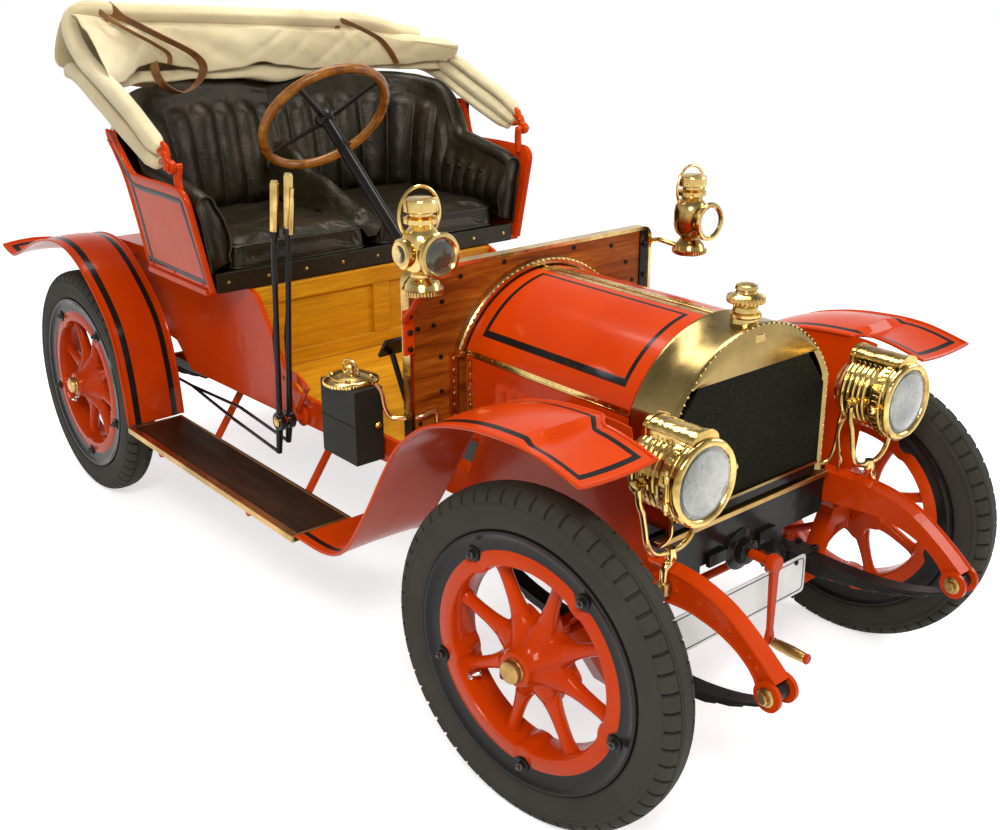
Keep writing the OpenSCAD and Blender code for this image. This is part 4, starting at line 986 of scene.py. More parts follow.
def radiator():
    y0, y1, low = -0.087, 0.045, 0.205
    shell = Shape()
    rows = [(y0 + 0.004, 0.287, 0.262), (y0, 0.2895, 0.2645), (y0 + 0.005, 0.2915, 0.2665),
            (y0 + 0.011, 0.2915, 0.2665), (y0 + 0.015, 0.2885, 0.2635),
            (y0 + 0.060, 0.2885, 0.2635), (y1 - 0.014, 0.2885, 0.2635),
            (y1 - 0.010, 0.2910, 0.2660), (y1 - 0.003, 0.2910, 0.2660), (y1, 0.2885, 0.2635),
            (y1, 0.280, 0.255), (y0 + 0.010, 0.280, 0.255)]
    skin = [[front(x, y, z) for x, z in arch_outline(r, half, low)] for y, r, half in rows]
    shell.add(loft(skin, closed=False, caps=False, loop=True))
    face_y = y0 + 0.004
    face = []
    for q in np.linspace(0, 1, 6):
        row = []
        for x, z in [(x, z) for x, z in arch_outline(0.287, 0.262, low) if z > 0.517]:
            row.append(front(x, face_y - 0.0036 * sin(pi * q), 0.520 + (z - 0.520) * q))
        face.append(row)
    shell.add(slab(face, 0.002))
    shell.add(bar(front(-0.248, y0 + 0.002, 0.232), front(0.248, y0 + 0.002, 0.232), 0.007, 0.006))
    o = piece("radiator_brass", shell, mat["brass_shell"], "chassis", angle=32)
    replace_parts(o, "radiator_shell")
    beads = [front(x, y0 + 0.0005, z)
             for x, z in resample(arch_outline(0.2885, 0.2635, low + 0.02), np.linspace(0.02, 1.2, 66))[0]]
    piece("radiator_beads", Shape().add(heads(beads, -CAR_Y, 0.0028, 0.0022, 10)), mat["brass"],
          "chassis")
    cap = Shape().add(lathe([(0.052, -0.012), (0.050, 0.004), (0.038, 0.010), (0.034, 0.020),
                             (0.033, 0.034), (0.036, 0.038), (0.036, 0.044), (0.029, 0.048),
                             (0.027, 0.058), (0.031, 0.064), (0.040, 0.068), (0.0415, 0.074),
                             (0.040, 0.080), (0.036, 0.083), (0.030, 0.086), (0.024, 0.090),
                             (0.0225, 0.094), (0.026, 0.098), (0.024, 0.106), (0.014, 0.1105),
                             (0.002, 0.112)], 48), at=Matrix.Translation(front(0, -0.040, 0.596)))
    knurl = [Vector((0.0405 * cos(a), 0.0405 * sin(a), 0.674))
             for a in np.linspace(0, 2 * pi, 28, endpoint=False)]
    for p in knurl:
        cap.add(lathe([(0.0024, -0.007), (0.0028, 0), (0.0024, 0.007)], 8),
                at=Matrix.Translation(front(p.x, -0.040 + p.y, p.z - 0.003)))
    piece("radiator_cap", cap, mat["brass"], "chassis", angle=30)
    core = Shape()
    half, top = 0.2575, 0.520
    side_top = 0.333 + sqrt(0.280**2 - half**2)
    line = ([(-half, 0.222), (-half, side_top - 0.012)] + [(-0.186, top)] +
            [(0.186, top)] + [(half, side_top - 0.012), (half, 0.222)])
    core.add(loft([[front(x, y, z) for x, z in line] for y in (y0 + 0.006, y1 - 0.02)]))
    o = piece("radiator_panel", core, mat["cells"], "chassis", bevel=0.002)
    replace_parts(o, "radiator_core")
    low_bars = Shape()
    low_bars.add(bar(front(-0.300, y0 + 0.012, 0.188), front(0.300, y0 + 0.012, 0.188), 0.013, 0.024))
    piece("radiator_lower_strip", low_bars, mat["brass_dull"], "chassis", bevel=0.002)
    apron = Shape()
    apron.add(box((-0.258, y0 + 0.010, 0.200), (0.258, y0 + 0.030, 0.224)),
              at=Matrix.Translation(front(0, 0, 0)))
    apron.add(slab([[front(x, y0 + 0.022 + 0.02 * (0.19 - z), z) for x in np.linspace(-0.312, 0.312, 9)]
                    for z in np.linspace(0.075, 0.200, 5)], 0.004))
    apron.add(lathe([(0.052, 0), (0.052, 0.006), (0.034, 0.012), (0.030, 0.030), (0.024, 0.034),
                     (0.018, 0.036)], 32), at=axes(front(0, y0 + 0.022, 0.076), -CAR_Y))
    for x in (-0.09, 0.09):
        apron.add(bar(front(x - 0.03, y0 + 0.014, 0.085), front(x + 0.03, y0 + 0.014, 0.085), 0.03, 0.012))
    piece("radiator_apron", apron, mat["black"], "chassis", bevel=0.0015)


radiator()


def number_plate():
    half, low, high, corner = 0.260, -0.127, -0.022, 0.012

    def outline(grow):
        h, lo, hi = half - grow, low + grow, high - grow
        return (arc(h - corner, hi - corner, corner, 0, 90,
                    5) + arc(corner - h, hi - corner, corner, 90, 180,
                             5) + arc(corner - h, lo + corner, corner, 180, 270,
                                      5) + arc(h - corner, lo + corner, corner, 270, 360, 5))

    plate = Shape().add(loft([[front(x, y, z) for x, z in outline(0)] for y in (-0.071, -0.068)]))
    o = piece("number_plate_blank", plate, mat["plate"], "chassis", bevel=0.0008)
    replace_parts(o, "number_plate")
    line = Shape().add(tube([front(x, -0.0713, z) for x, z in outline(0.009)], 0.0012, 6, loop=True))
    for x in (-0.220, 0.220):
        line.add(lathe([(0.007, 0), (0.006, 0.003), (0.002, 0.004)], 16),
                 at=axes(front(x, -0.0712, high - 0.014), -CAR_Y))
        line.add(bar(front(x * 0.68, -0.064, -0.06), front(x * 0.68, -0.064, 0.078), 0.006, 0.022, CAR_Y))
    piece("number_plate_line", line, mat["black"], "chassis")


number_plate()


def starting_crank():
    y, shaft_z, drop = -0.168, 0.076, 0.196
    iron = Shape().add(tube([front(0, y - 0.008, shaft_z), front(0, 0.05, shaft_z)], 0.0118, 20))
    iron.add(lathe([(0.020, -0.004), (0.022, 0.0), (0.022, 0.018), (0.016, 0.024)], 24),
             at=axes(front(0, y - 0.006, shaft_z), CAR_Y))
    iron.add(loft([[front(x * w, y + t * d, shaft_z - h) for x, t in ((-1, -1), (1, -1), (1, 1), (-1, 1))]
                   for h, w, d in ((-0.016, 0.013, 0.006), (0.0, 0.0155, 0.0075), (0.03, 0.0115, 0.0065),
                                   (0.165, 0.008, 0.0055), (0.185, 0.012, 0.0065),
                                   (0.205, 0.011, 0.006))]))
    iron.add(lathe([(0.0105, 0), (0.0125, 0.003), (0.0125, 0.007), (0.010, 0.010)], 20),
             at=axes(front(0, y - 0.112, shaft_z - drop), CAR_Y))
    o = piece("crank_arm", iron, mat["red"], "chassis", bevel=0.002, segments=3)
    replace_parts(o, "starting_crank")
    grip = Shape().add(lathe([(0.0095, 0), (0.0120, 0.006), (0.0135, 0.04), (0.0125, 0.075),
                              (0.0105, 0.086), (0.0118, 0.090), (0.0095, 0.094)], 24),
                       at=axes(front(0, y - 0.104, shaft_z - drop), CAR_Y))
    piece("crank_grip", grip, mat["brass_dull"], "chassis")


starting_crank()


# ---------------------------------------------------------------- springs and nose of the frame


def leaf_height(y, l, low, high):
    return low + (high - low) * (abs(y) / l) ** 3.5


def spring(x, base, l, low, high, leaves=6):
    shape, t, eye = Shape(), 0.0068, 0.019
    for k in range(leaves):
        reach = l * (1 - 0.155 * k)
        ys = np.linspace(-reach, reach, 29)
        line = [(y, leaf_height(y, l, low, high - eye) - k * (t + 0.0006)) for y in ys]
        wide = [0.021 if abs(y) < reach - 0.012 or k == 0 else 0.014 for y in ys]
        rings = [[base(x + w * sx, y, z + t * sz) for sx, sz in ((-1, -1), (1, -1), (1, 0), (-1, 0))]
                 for (y, z), w in zip(line, wide)]
        shape.add(loft(rings))
    for end in (-l, l):
        shape.add(lathe([(0.011, -0.0205), (eye, -0.0205), (eye, 0.0205), (0.011, 0.0205)], 28),
                  at=axes(base(x, end, high), CAR_X))
        shape.add(lathe([(0.0105, -0.024), (0.0105, 0.024)], 16), at=axes(base(x, end, high), CAR_X))
    foot = low - leaves * (t + 0.0006)
    for y in (-0.026, 0.026):
        for s in (-1, 1):
            shape.add(tube([base(x + s * 0.026, y, foot - 0.012), base(x + s * 0.026, y, low + 0.012)],
                           0.005, 10))
            shape.add(heads([base(x + s * 0.026, y, low + 0.004)], CAR_Z, 0.0095, 0.008))
    shape.add(loft([[base(x + a * 0.033, b * 0.036, z) for a, b in ((-1, -1), (1, -1), (1, 1), (-1, 1))]
                    for z in (low + 0.0005, low + 0.006)]))
    return shape


for word, x_side in SIDES.items():
    o = piece("front_spring_" + word, spring(x_side * 0.335, front, 0.438, -0.065, 0.024), mat["springs"],
              "chassis", bevel=0.0008, segments=1)
    if word == "right":
        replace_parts(o, "front_springs")
    back = spring(x_side * 0.390, rear, 0.480, 0.086, 0.120)
    back.add(loft([[rear(x_side * 0.390 + a * 0.029, b * 0.040, z)
                    for a, b in ((-1, -1), (1, -1), (1, 1), (-1, 1))] for z in (0.0365, 0.046)]))
    for end in (-0.480, 0.480):
        back.add(tube([rear(x_side * 0.357, end, 0.120), rear(x_side * 0.412, end, 0.120)], 0.010, 16))
    o = piece("rear_spring_" + word, back, mat["springs"], "chassis", bevel=0.0008,
              segments=1)
    if word == "right":
        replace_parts(o, "rear_springs")
    nose = Shape()
    for s in (-1, 1):
        nose.add(lathe([(0.020, 0), (0.020, 0.003), (0.0155, 0.005), (0.0155, 0.007)], 28),
                 at=axes(front(x_side * 0.335 + s * 0.0302, -0.438, 0.024), CAR_X * s))
        nose.add(heads([front(x_side * 0.335 + s * 0.0365, -0.438, 0.024)], CAR_X * s, 0.0135, 0.009))
    piece("nose_pins_" + word, nose, mat["brass_dull"], "chassis", bevel=0.0006, segments=1)
    flange = Shape()
    for edge in ([(-0.452, 0.054), (-0.395, 0.100), (-0.317, 0.150), (-0.237, 0.176), (-0.162, 0.183),
                  (-0.100, 0.183)], [(-0.414, 0.018), (-0.396, 0.051), (-0.358, 0.082), (-0.308, 0.103),
                                     (-0.260, 0.113), (-0.215, 0.117), (-0.146, 0.111), (-0.100, 0.106)]):
        line = smooth(edge, 6)
        flange.add(tube([front(x_side * 0.3555, y, z) for y, z in line], 0.004, 8, caps=True))
    rivets = [front(x_side * 0.357, y, z)
              for y, z in ((-0.402, 0.068), (-0.384, 0.085), (-0.330, 0.118), (-0.300, 0.131),
                           (-0.25, 0.143), (-0.19, 0.148), (-0.13, 0.143), (-0.13, 0.160),
                           (-0.06, 0.143), (0.02, 0.143))]
    flange.add(heads(rivets, CAR_X * x_side, 0.0065, 0.0035, 14))
    for y in np.arange(0.12, 1.9, 0.16):
        flange.add(heads([front(x_side * 0.357, y, 0.163), front(x_side * 0.357, y + 0.05, 0.122)],
                         CAR_X * x_side, 0.005, 0.003, 12))
    piece("rail_rivets_" + word, flange, mat["red"], "chassis", angle=30)

# ---------------------------------------------------------------- dashboard and wooden panels


def dashboard():
    half, top, low, y0, y1 = 0.418, 0.665, 0.223, 0.640, 0.668

    def outline(grow):
        h, t = half + grow, top + grow
        return ([(h, low)] + arc(h - 0.03, t - 0.03, 0.03, 0, 90,
                                 8) + arc(0.03 - h, t - 0.03, 0.03, 90, 180, 8) + [(-h, low)])

    board = Shape().add(loft([[front(x, y, z) for x, z in outline(-0.003)] for y in (y0, y1)]))
    o = piece("dash_board", board, mat["dash"], "chassis", bevel=0.002)
    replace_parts(o, "dashboard")
    trim = Shape()
    trim.add(loft([[front(x, y, z) for x, z in outline(g)]
                   for y, g in ((y0 - 0.002, -0.010), (y0 - 0.002, 0.0), (y1 + 0.002, 0.0),
                                (y1 + 0.002, -0.010))], closed=False, caps=False))
    for s in (-1, 1):
        trim.add(bar(front(s * 0.287, y0 - 0.003, low), front(s * 0.287, y0 - 0.003, 0.440), 0.006, 0.026,
                     CAR_Y))
        trim.add(heads([front(s * 0.287, y0 - 0.006, z) for z in np.linspace(low + 0.02, 0.425, 7)],
                       -CAR_Y, 0.0045, 0.0022, 12))
    arch = [(r, y) for r, y in ((0.287, y0 - 0.018), (0.290, y0 - 0.021), (0.2995, y0 - 0.021),
                                (0.304, y0 - 0.017), (0.305, y0 - 0.001), (0.298, y0 + 0.001),
                                (0.287, y0 + 0.001))]
    lines = [arch_outline(r, r - 0.0235, 0.43) for r, y in arch]
    trim.add(loft([[front(x, y, z) for x, z in line] for line, (r, y) in zip(lines, arch)], closed=False,
                  caps=False, loop=True))
    places = resample(arch_outline(0.2995, 0.276, 0.43), np.linspace(0.01, 1.02, 58))[0]
    trim.add(heads([front(x, y0 - 0.0205, z) for x, z in places], -CAR_Y, 0.0042, 0.0030, 12))
    piece("dash_trim", trim, mat["brass"], "chassis", angle=32)
    bolts = [front(s * x, y0, z) for s in (-1, 1)
             for x, z in ((0.325, 0.262), (0.325, 0.345), (0.325, 0.435), (0.345, 0.520), (0.318, 0.575),
                          (0.392, 0.275), (0.392, 0.60), (0.392, 0.52), (0.26, 0.63), (0.12, 0.645))]
    piece("dash_bolts", Shape().add(heads(bolts, -CAR_Y, 0.0062, 0.0045)), mat["black"], "chassis")
    strap = Shape().add(bar(front(0.385, y0 - 0.003, 0.30), front(0.385, y0 - 0.003, 0.655), 0.006, 0.030,
                            CAR_Y))
    strap.add(heads([front(0.385, y0 - 0.006, z) for z in (0.33, 0.42, 0.53, 0.62)], -CAR_Y, 0.008, 0.006))
    piece("dash_strap", strap, mat["black"], "chassis", bevel=0.0015)


dashboard()


def seat_riser():
    """The wooden board under the seat: a frame round two sunk panels."""
    y, low, high, half = -0.858, 0.223, 0.472, 0.426
    wood = Shape()
    wood.add(box((-half, -0.010, low), (half, -0.001, high)), at=Matrix.Translation(rear(0, y, 0)))
    rails = [(-half, half, low, low + 0.045), (-half, half, high - 0.050, high)]
    stiles = [(-half, -half + 0.055), (-0.030, 0.030), (half - 0.055, half)]
    for x0, x1, z0, z1 in rails + [(a, b, low + 0.045, high - 0.050) for a, b in stiles]:
        wood.add(box((x0, -0.022, z0), (x1, -0.009, z1)), at=Matrix.Translation(rear(0, y, 0)))
    o = piece("seat_riser_boards", wood, mat["floor"], "chassis", bevel=0.003, segments=3)
    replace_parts(o, "seat_riser")


seat_riser()


# ---------------------------------------------------------------- steering wheel


def steering_wheel():
    joint = joints["steering_wheel_turn"]
    axis = Vector(joint["axis"])
    axis = axis if axis.z > 0 else -axis
    at = axes(Vector(joint["pos_m"]), axis, CAR_X)
    rings = []
    for a in np.linspace(0, 2 * pi, 216, endpoint=False):
        ring_points = []
        for q in np.linspace(0, 2 * pi, 16, endpoint=False):
            r = 0.0132 * (1 - 0.085 * (0.5 + 0.5 * cos(36 * a)) * max(0.0, -sin(q) * 0.6 + cos(q) * 0.55))
            ring_points.append(((0.185 + r * cos(q)) * cos(a), (0.185 + r * cos(q)) * sin(a), r * sin(q)))
        rings.append(ring_points)
    o = piece("steering_rim", Shape().add(loft(rings, loop=True), at=at), mat["rim"], "steering_wheel",
              angle=60)
    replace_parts(o, "steering_wheel")
    spider = Shape()
    for k in range(4):
        a = radians(45 + 90 * k)
        c, s = cos(a), sin(a)
        rows = [(0.018, 0.011, 0.0075, -0.006), (0.05, 0.0085, 0.006, -0.005),
                (0.12, 0.0062, 0.0048, -0.001), (0.165, 0.0075, 0.0045, 0.0),
                (0.181, 0.012, 0.0045, 0.0)]
        spider.add(loft([[(r * c - w * cos(q) * s, r * s + w * cos(q) * c, z + d * sin(q))
                          for q in np.linspace(0, 2 * pi, 14, endpoint=False)] for r, w, d, z in rows]),
                   at=at)
    spider.add(lathe([(0.0185, -0.020), (0.024, -0.016), (0.030, -0.008), (0.030, 0.004), (0.026, 0.008),
                      (0.016, 0.0095)], 36), at=at)
    spider.add(lathe([(0.0155, 0.009), (0.0155, 0.017), (0.012, 0.020)], 6), at=at)
    spider.add(lathe([(0.006, 0.019), (0.006, 0.026), (0.003, 0.028)], 16), at=at)
    piece("steering_spider", spider, mat["black"], "steering_wheel", bevel=0.0008)


steering_wheel()


# ---------------------------------------------------------------- lamps


def headlamp(name, side):
    z, lens_y, x = 0.404, -0.253, side * 0.351
    at = axes(front(x, lens_y, z), CAR_Y, CAR_X)
    ribs = []
    for k in range(5):
        y = 0.070 + 0.014 * k
        ribs += [(0.0795, y), (0.0825, y + 0.003), (0.0825, y + 0.008), (0.0795, y + 0.011)]
    body = Shape().add(lathe([(0.078, 0.012), (0.0875, 0.014), (0.0885, 0.024), (0.0885, 0.050),
                              (0.084, 0.056), (0.0835, 0.066)] + ribs
                             + [(0.077, 0.142), (0.066, 0.156), (0.058, 0.160), (0.056, 0.168),
                                (0.046, 0.174), (0.03, 0.177), (0.002, 0.1775)], 64), at=at)
    body.add(torus(0.0835, 0.0092, 72, 14), at=at @ Matrix.Translation((0, 0, 0.009)))
    body.add(torus(0.0865, 0.0045, 72, 10), at=at @ Matrix.Translation((0, 0, 0.026)))
    for k in range(44):
        a = 2 * pi * k / 44
        body.add(box((-0.0032, -0.0026, 0), (0.0032, 0.0026, 0.012)),
                 at=at @ Matrix.Translation((0.0895 * cos(a), 0.0895 * sin(a),
                                             0.030)) @ Matrix.Rotation(a, 4, "Z"))
    for dz in (-0.028, 0.028):
        body.add(lathe([(0.006, -0.009), (0.0075, -0.007), (0.0075, 0.007), (0.006, 0.009)], 14),
                 at=Matrix.Translation(front(x + side * 0.093, lens_y + 0.024, z + dz)))
    body.add(tube([front(x + side * 0.093, lens_y + 0.024, z - 0.045),
                   front(x + side * 0.093, lens_y + 0.024, z + 0.045)], 0.0035, 10))
    body.add(lathe([(0.004, 0), (0.004, 0.012), (0.009, 0.014), (0.009, 0.020), (0.004, 0.024)], 14),
             at=axes(front(x - side * 0.092, lens_y + 0.026, z), CAR_X * -side))
    roof = [(0.037 * cos(a), 0.084 + 0.024 * sin(a)) for a in np.linspace(0, pi, 14)]
    profile = [(-0.037, 0.060), (0.037, 0.060)] + roof
    for y0, y1, grow in ((0.018, 0.136, 1.0), (0.010, 0.020, 1.06), (0.134, 0.144, 1.06)):
        body.add(loft([[front(x + px * grow, lens_y + y, z + 0.060 + (pz - 0.060) * grow)
                        for px, pz in profile] for y in (y0, y1)]))
    for k in range(7):
        body.add(box((-0.0390, 0.030 + 0.014 * k, 0.076), (0.0390, 0.036 + 0.014 * k, 0.082)),
                 at=Matrix.Translation(front(x, lens_y, z)))
    o = piece("headlamp_body_" + name, body, mat["brass_hammered"], "chassis", bevel=0.0008,
              angle=34)
    if name == "right":
        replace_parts(o, "headlamps")
    bowl = Shape().add(lathe([(0.0790, 0.007), (0.0775, 0.014), (0.070, 0.036), (0.055, 0.056),
                              (0.034, 0.070), (0.012, 0.076), (0.002, 0.0765)], 56), at=at)
    bowl.add(lathe([(0.009, 0.074), (0.009, 0.050), (0.013, 0.046), (0.013, 0.040), (0.004, 0.034)], 18),
             at=at)
    piece("headlamp_reflector_" + name, bowl, mat["silver"], "chassis", angle=40)
    lens = Shape().add(lathe([(0.0785, 0.0075), (0.060, 0.0030), (0.035, 0.0005), (0.010, -0.0005),
                              (0.0005, -0.0006), (0.0005, 0.0019), (0.010, 0.0020), (0.035, 0.0030),
                              (0.060, 0.0055), (0.0785, 0.0100)], 56), at=at)
    piece("headlamp_glass_" + name, lens, mat["glass"], "chassis", angle=50)
    py = -0.165
    fork = Shape()
    half = [(0.101, 0.404), (0.0995, 0.365), (0.088, 0.335), (0.080, 0.300), (0.072, 0.265),
            (0.056, 0.240), (0.030, 0.2275), (0.0, 0.2245)]
    for s in (-1, 1):
        fork.add(tube([front(x + s * a, py, b) for a, b in smooth(half, 5)], 0.0066, 10))
        fork.add(lathe([(0.0125, -0.006), (0.0125, 0.006)], 20),
                 at=axes(front(x + s * 0.101, py, 0.404), CAR_X * s))
        fork.add(lathe([(0.007, -0.022), (0.007, 0.009), (0.010, 0.011), (0.010, 0.018), (0.004, 0.021)],
                       14), at=axes(front(x + s * 0.101, py, 0.404), CAR_X * s))
    fork.add(lathe([(0.0095, 0.205), (0.0130, 0.211), (0.0130, 0.220), (0.0105, 0.234)], 24),
             at=Matrix.Translation(front(x, py, 0)))
    fork.add(tube([front(*p) for p in smooth([(x, py, 0.216), (x + side * 0.002, py, 0.200),
                                              (x + side * 0.016, py, 0.186),
                                              (x + side * 0.016, py, 0.132)], 6)], 0.0098, 16))
    pipe = smooth([(x - side * 0.02, -0.110, 0.345), (x - side * 0.05, -0.105, 0.300),
                   (x - side * 0.052, -0.118, 0.230), (x - side * 0.035, -0.100, 0.196)], 8)
    fork.add(tube([front(*p) for p in pipe], 0.0042, 8))
    if name == "left":
        pipe = smooth([(0.262, -0.060, 0.226), (0.288, -0.085, 0.218), (0.310, -0.090, 0.250),
                       (0.312, -0.098, 0.330), (0.325, -0.10, 0.360)], 8)
        fork.add(tube([front(*p) for p in pipe], 0.0045, 8))
    piece("headlamp_fork_" + name, fork, mat["brass"], "chassis", angle=36)
    clamp = Shape().add(lathe([(0.0150, 0.134), (0.0165, 0.138), (0.0165, 0.158), (0.0150, 0.162)], 20),
                        at=Matrix.Translation(front(x + side * 0.016, py, 0)))
    clamp.add(bar(front(side * 0.356, py, 0.148), front(side * 0.366, py, 0.148), 0.026, 0.020, CAR_Y))
    clamp.add(heads([front(x + side * 0.032, py, 0.148)], CAR_X * side, 0.008, 0.007))
    piece("headlamp_clamp_" + name, clamp, mat["brass_dull"], "chassis", bevel=0.0015)


def side_lamp(name, place, side):
    at = Matrix.Translation(place)
    body = Shape().add(lathe([(0.044, 0.0), (0.0465, 0.004), (0.0465, 0.012), (0.043, 0.016),
                              (0.041, 0.026), (0.034, 0.034), (0.027, 0.042), (0.027, 0.048),
                              (0.036, 0.054), (0.044, 0.064), (0.0475, 0.082), (0.0475, 0.118),
                              (0.044, 0.136), (0.036, 0.148), (0.030, 0.154), (0.0265, 0.160),
                              (0.036, 0.163), (0.0405, 0.166), (0.0405, 0.176), (0.036, 0.179),
                              (0.026, 0.182), (0.0255, 0.188), (0.037, 0.190), (0.0400, 0.193),
                              (0.0405, 0.214), (0.038, 0.219), (0.024, 0.2225), (0.002, 0.2235)], 56),
                       at=at)
    for k in range(40):
        a = 2 * pi * k / 40
        body.add(lathe([(0.0026, -0.005), (0.0030, 0), (0.0026, 0.005)], 6),
                 at=at @ Matrix.Translation((0.0465 * cos(a), 0.0465 * sin(a), 0.008)))
    look = axes(place + Vector((0, 0, 0.100)), -CAR_Y, CAR_X)
    body.add(lathe([(0.034, 0.030), (0.040, 0.040), (0.044, 0.056), (0.050, 0.060), (0.0535, 0.064),
                    (0.0545, 0.070), (0.0515, 0.0755), (0.0440, 0.0765), (0.0400, 0.073),
                    (0.0395, 0.066)], 56), at=look)
    out = axes(place + Vector((0, 0, 0.100)), CAR_X * side, CAR_Z)
    body.add(lathe([(0.028, 0.030), (0.034, 0.044), (0.036, 0.052), (0.034, 0.058), (0.028, 0.061),
                    (0.024, 0.060)], 40), at=out)
    hoop = [place + Vector((0.056 * sin(a), 0.004,
                            0.184 - 0.062 * cos(a))) for a in np.linspace(radians(38), radians(322), 44)]
    body.add(tube(hoop, 0.0040, 10))
    for s in (-1, 1):
        body.add(lathe([(0.007, -0.004), (0.007, 0.004)], 16),
                 at=axes(place + Vector((s * 0.0375, 0.004, 0.136)), CAR_X))
    o = piece("side_lamp_body_" + name, body, mat["brass"], "chassis", angle=30)
    inner = Shape().add(lathe([(0.0395, 0.066), (0.036, 0.050), (0.026, 0.036), (0.010, 0.030),
                               (0.001, 0.0295)], 40), at=look)
    inner.add(lathe([(0.024, 0.058), (0.018, 0.050), (0.002, 0.046)], 32), at=out)
    piece("side_lamp_mirror_" + name, inner, mat["silver_pale"], "chassis", angle=40)
    glass_shape = Shape().add(lathe([(0.0405, 0.0700), (0.030, 0.0735), (0.012, 0.0755), (0.0005, 0.0758),
                                     (0.0005, 0.0728), (0.012, 0.0725), (0.030, 0.0708),
                                     (0.0405, 0.0675)], 40), at=look)
    glass_shape.add(lathe([(0.0245, 0.0585), (0.016, 0.0615), (0.0005, 0.0630), (0.0005, 0.0605),
                           (0.016, 0.0590), (0.0245, 0.0560)], 32), at=out)
    piece("side_lamp_glass_" + name, glass_shape, mat["glass"], "chassis", angle=50)
    return o


for word, x_side in SIDES.items():
    headlamp(word, x_side)
RIGHT_LAMP, LEFT_LAMP = front(-0.455, 0.530, 0.643), front(0.490, 0.560, 0.588)
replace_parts(side_lamp("right", RIGHT_LAMP, -1), "side_lamps")
side_lamp("left", LEFT_LAMP, 1)
prop = Shape().add(tube(smooth([RIGHT_LAMP + Vector((0, 0.006, 0.004)), RIGHT_LAMP
                                + Vector((0.002, 0.03, -0.03)), front(-0.446, 0.606, 0.570),
                                front(-0.432, 0.634, 0.545)], 6), 0.010, 12, flat=0.7))
prop.add(bar(front(-0.424, 0.634, 0.575), front(-0.424, 0.634, 0.462), 0.010, 0.030, CAR_Y))
piece("side_lamp_bracket_right", prop, mat["red"], "chassis", bevel=0.002)
prop_bolts = heads([front(-0.424, 0.628, z) for z in (0.560, 0.520, 0.478)], -CAR_Y, 0.0075, 0.007)
piece("side_lamp_bolts_right", Shape().add(prop_bolts), mat["black"], "chassis")
arm = Shape().add(tube(smooth([LEFT_LAMP + Vector((0, 0.02, 0.020)), front(0.478, 0.598, 0.606),
                               front(0.452, 0.636, 0.618), front(0.415, 0.640, 0.620)], 6), 0.0075, 12))
arm.add(lathe([(0.018, 0), (0.018, 0.005), (0.010, 0.010)], 24), at=axes(front(0.417, 0.655, 0.620), CAR_X))
piece("side_lamp_bracket_left", arm, mat["brass"], "chassis")


def gas_generator():
    x0, x1, y0, y1, low, high = -0.530, -0.447, 0.718, 0.872, 0.171, 0.366
    tin = Shape().add(box((x0, y0, low), (x1, y1, high)), at=Matrix.Translation(front(0, 0, 0)))
    tin.add(box((x0 - 0.002, y0 - 0.002, low + 0.10), (x1, y1 + 0.002, low + 0.103)),
            at=Matrix.Translation(front(0, 0, 0)))
    tin.add(box((-0.449, y0 + 0.015, low + 0.02), (-0.440, y1 - 0.06, low + 0.06)),
            at=Matrix.Translation(front(0, 0, 0)))
    o = piece("generator_box", tin, mat["black_matt"], "chassis", bevel=0.004, segments=3)
    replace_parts(o, "gas_generator")
    centre = front(-0.488, 0.795, high - 0.004)
    rings = []
    for z, r, wave in ((0.0, 0.058, 0.006), (0.005, 0.062, 0.007), (0.011, 0.062, 0.007),
                       (0.016, 0.056, 0.003), (0.018, 0.050, 0.0), (0.021, 0.050, 0.0),
                       (0.024, 0.042, 0.0), (0.029, 0.030, 0.0), (0.031, 0.013, 0.0),
                       (0.038, 0.0085, 0.0), (0.043, 0.012, 0.0), (0.048, 0.012, 0.0),
                       (0.051, 0.006, 0.0), (0.0515, 0.001, 0.0)):
        rings.append([centre + Vector(((r + wave * cos(2 * a)) * cos(a),
                                       (r + wave * cos(2 * a)) * 1.14 * sin(a), z))
                      for a in np.linspace(0, 2 * pi, 64, endpoint=False)])
    top = Shape().add(loft(rings))
    for k in range(48):
        a = 2 * pi * k / 48
        top.add(lathe([(0.0022, -0.004), (0.0026, 0), (0.0022, 0.004)], 6),
                at=Matrix.Translation(centre + Vector(((0.062 + 0.007 * cos(2 * a)) * cos(a),
                                                       (0.062 + 0.007 * cos(2 * a)) * 1.14 * sin(a),
                                                       0.008))))
    for a in (radians(45), radians(135), radians(225), radians(315)):
        top.add(lathe([(0.010, 0.012), (0.010, 0.018), (0.006, 0.024), (0.002, 0.026)], 18),
                at=Matrix.Translation(centre + Vector((0.047 * cos(a), 0.053 * sin(a), 0))))
    top.add(tube([centre + Vector((0.0, 0.036 * cos(a), 0.030 + 0.030 * sin(a)))
                  for a in np.linspace(0, pi, 20)], 0.0032, 8))
    top.add(lathe([(0.006, 0), (0.0085, 0.003), (0.0085, 0.010), (0.004, 0.014)], 18),
            at=axes(front(-0.470, y0 - 0.001, 0.27), -CAR_Y))
    piece("generator_top", top, mat["brass"], "chassis", angle=30)
    route = smooth([(-0.462, 0.728, 0.372), (-0.455, 0.712, 0.352), (-0.452, 0.704, 0.315),
                    (-0.440, 0.695, 0.288), (-0.418, 0.672, 0.286), (-0.395, 0.634, 0.296),
                    (-0.36, 0.631, 0.302), (-0.345, 0.631, 0.29), (-0.343, 0.631, 0.225)], 7)
    pipe = Shape().add(tube([front(*p) for p in route], 0.0058, 10))
    piece("generator_pipe", pipe, mat["copper"], "chassis")


gas_generator()


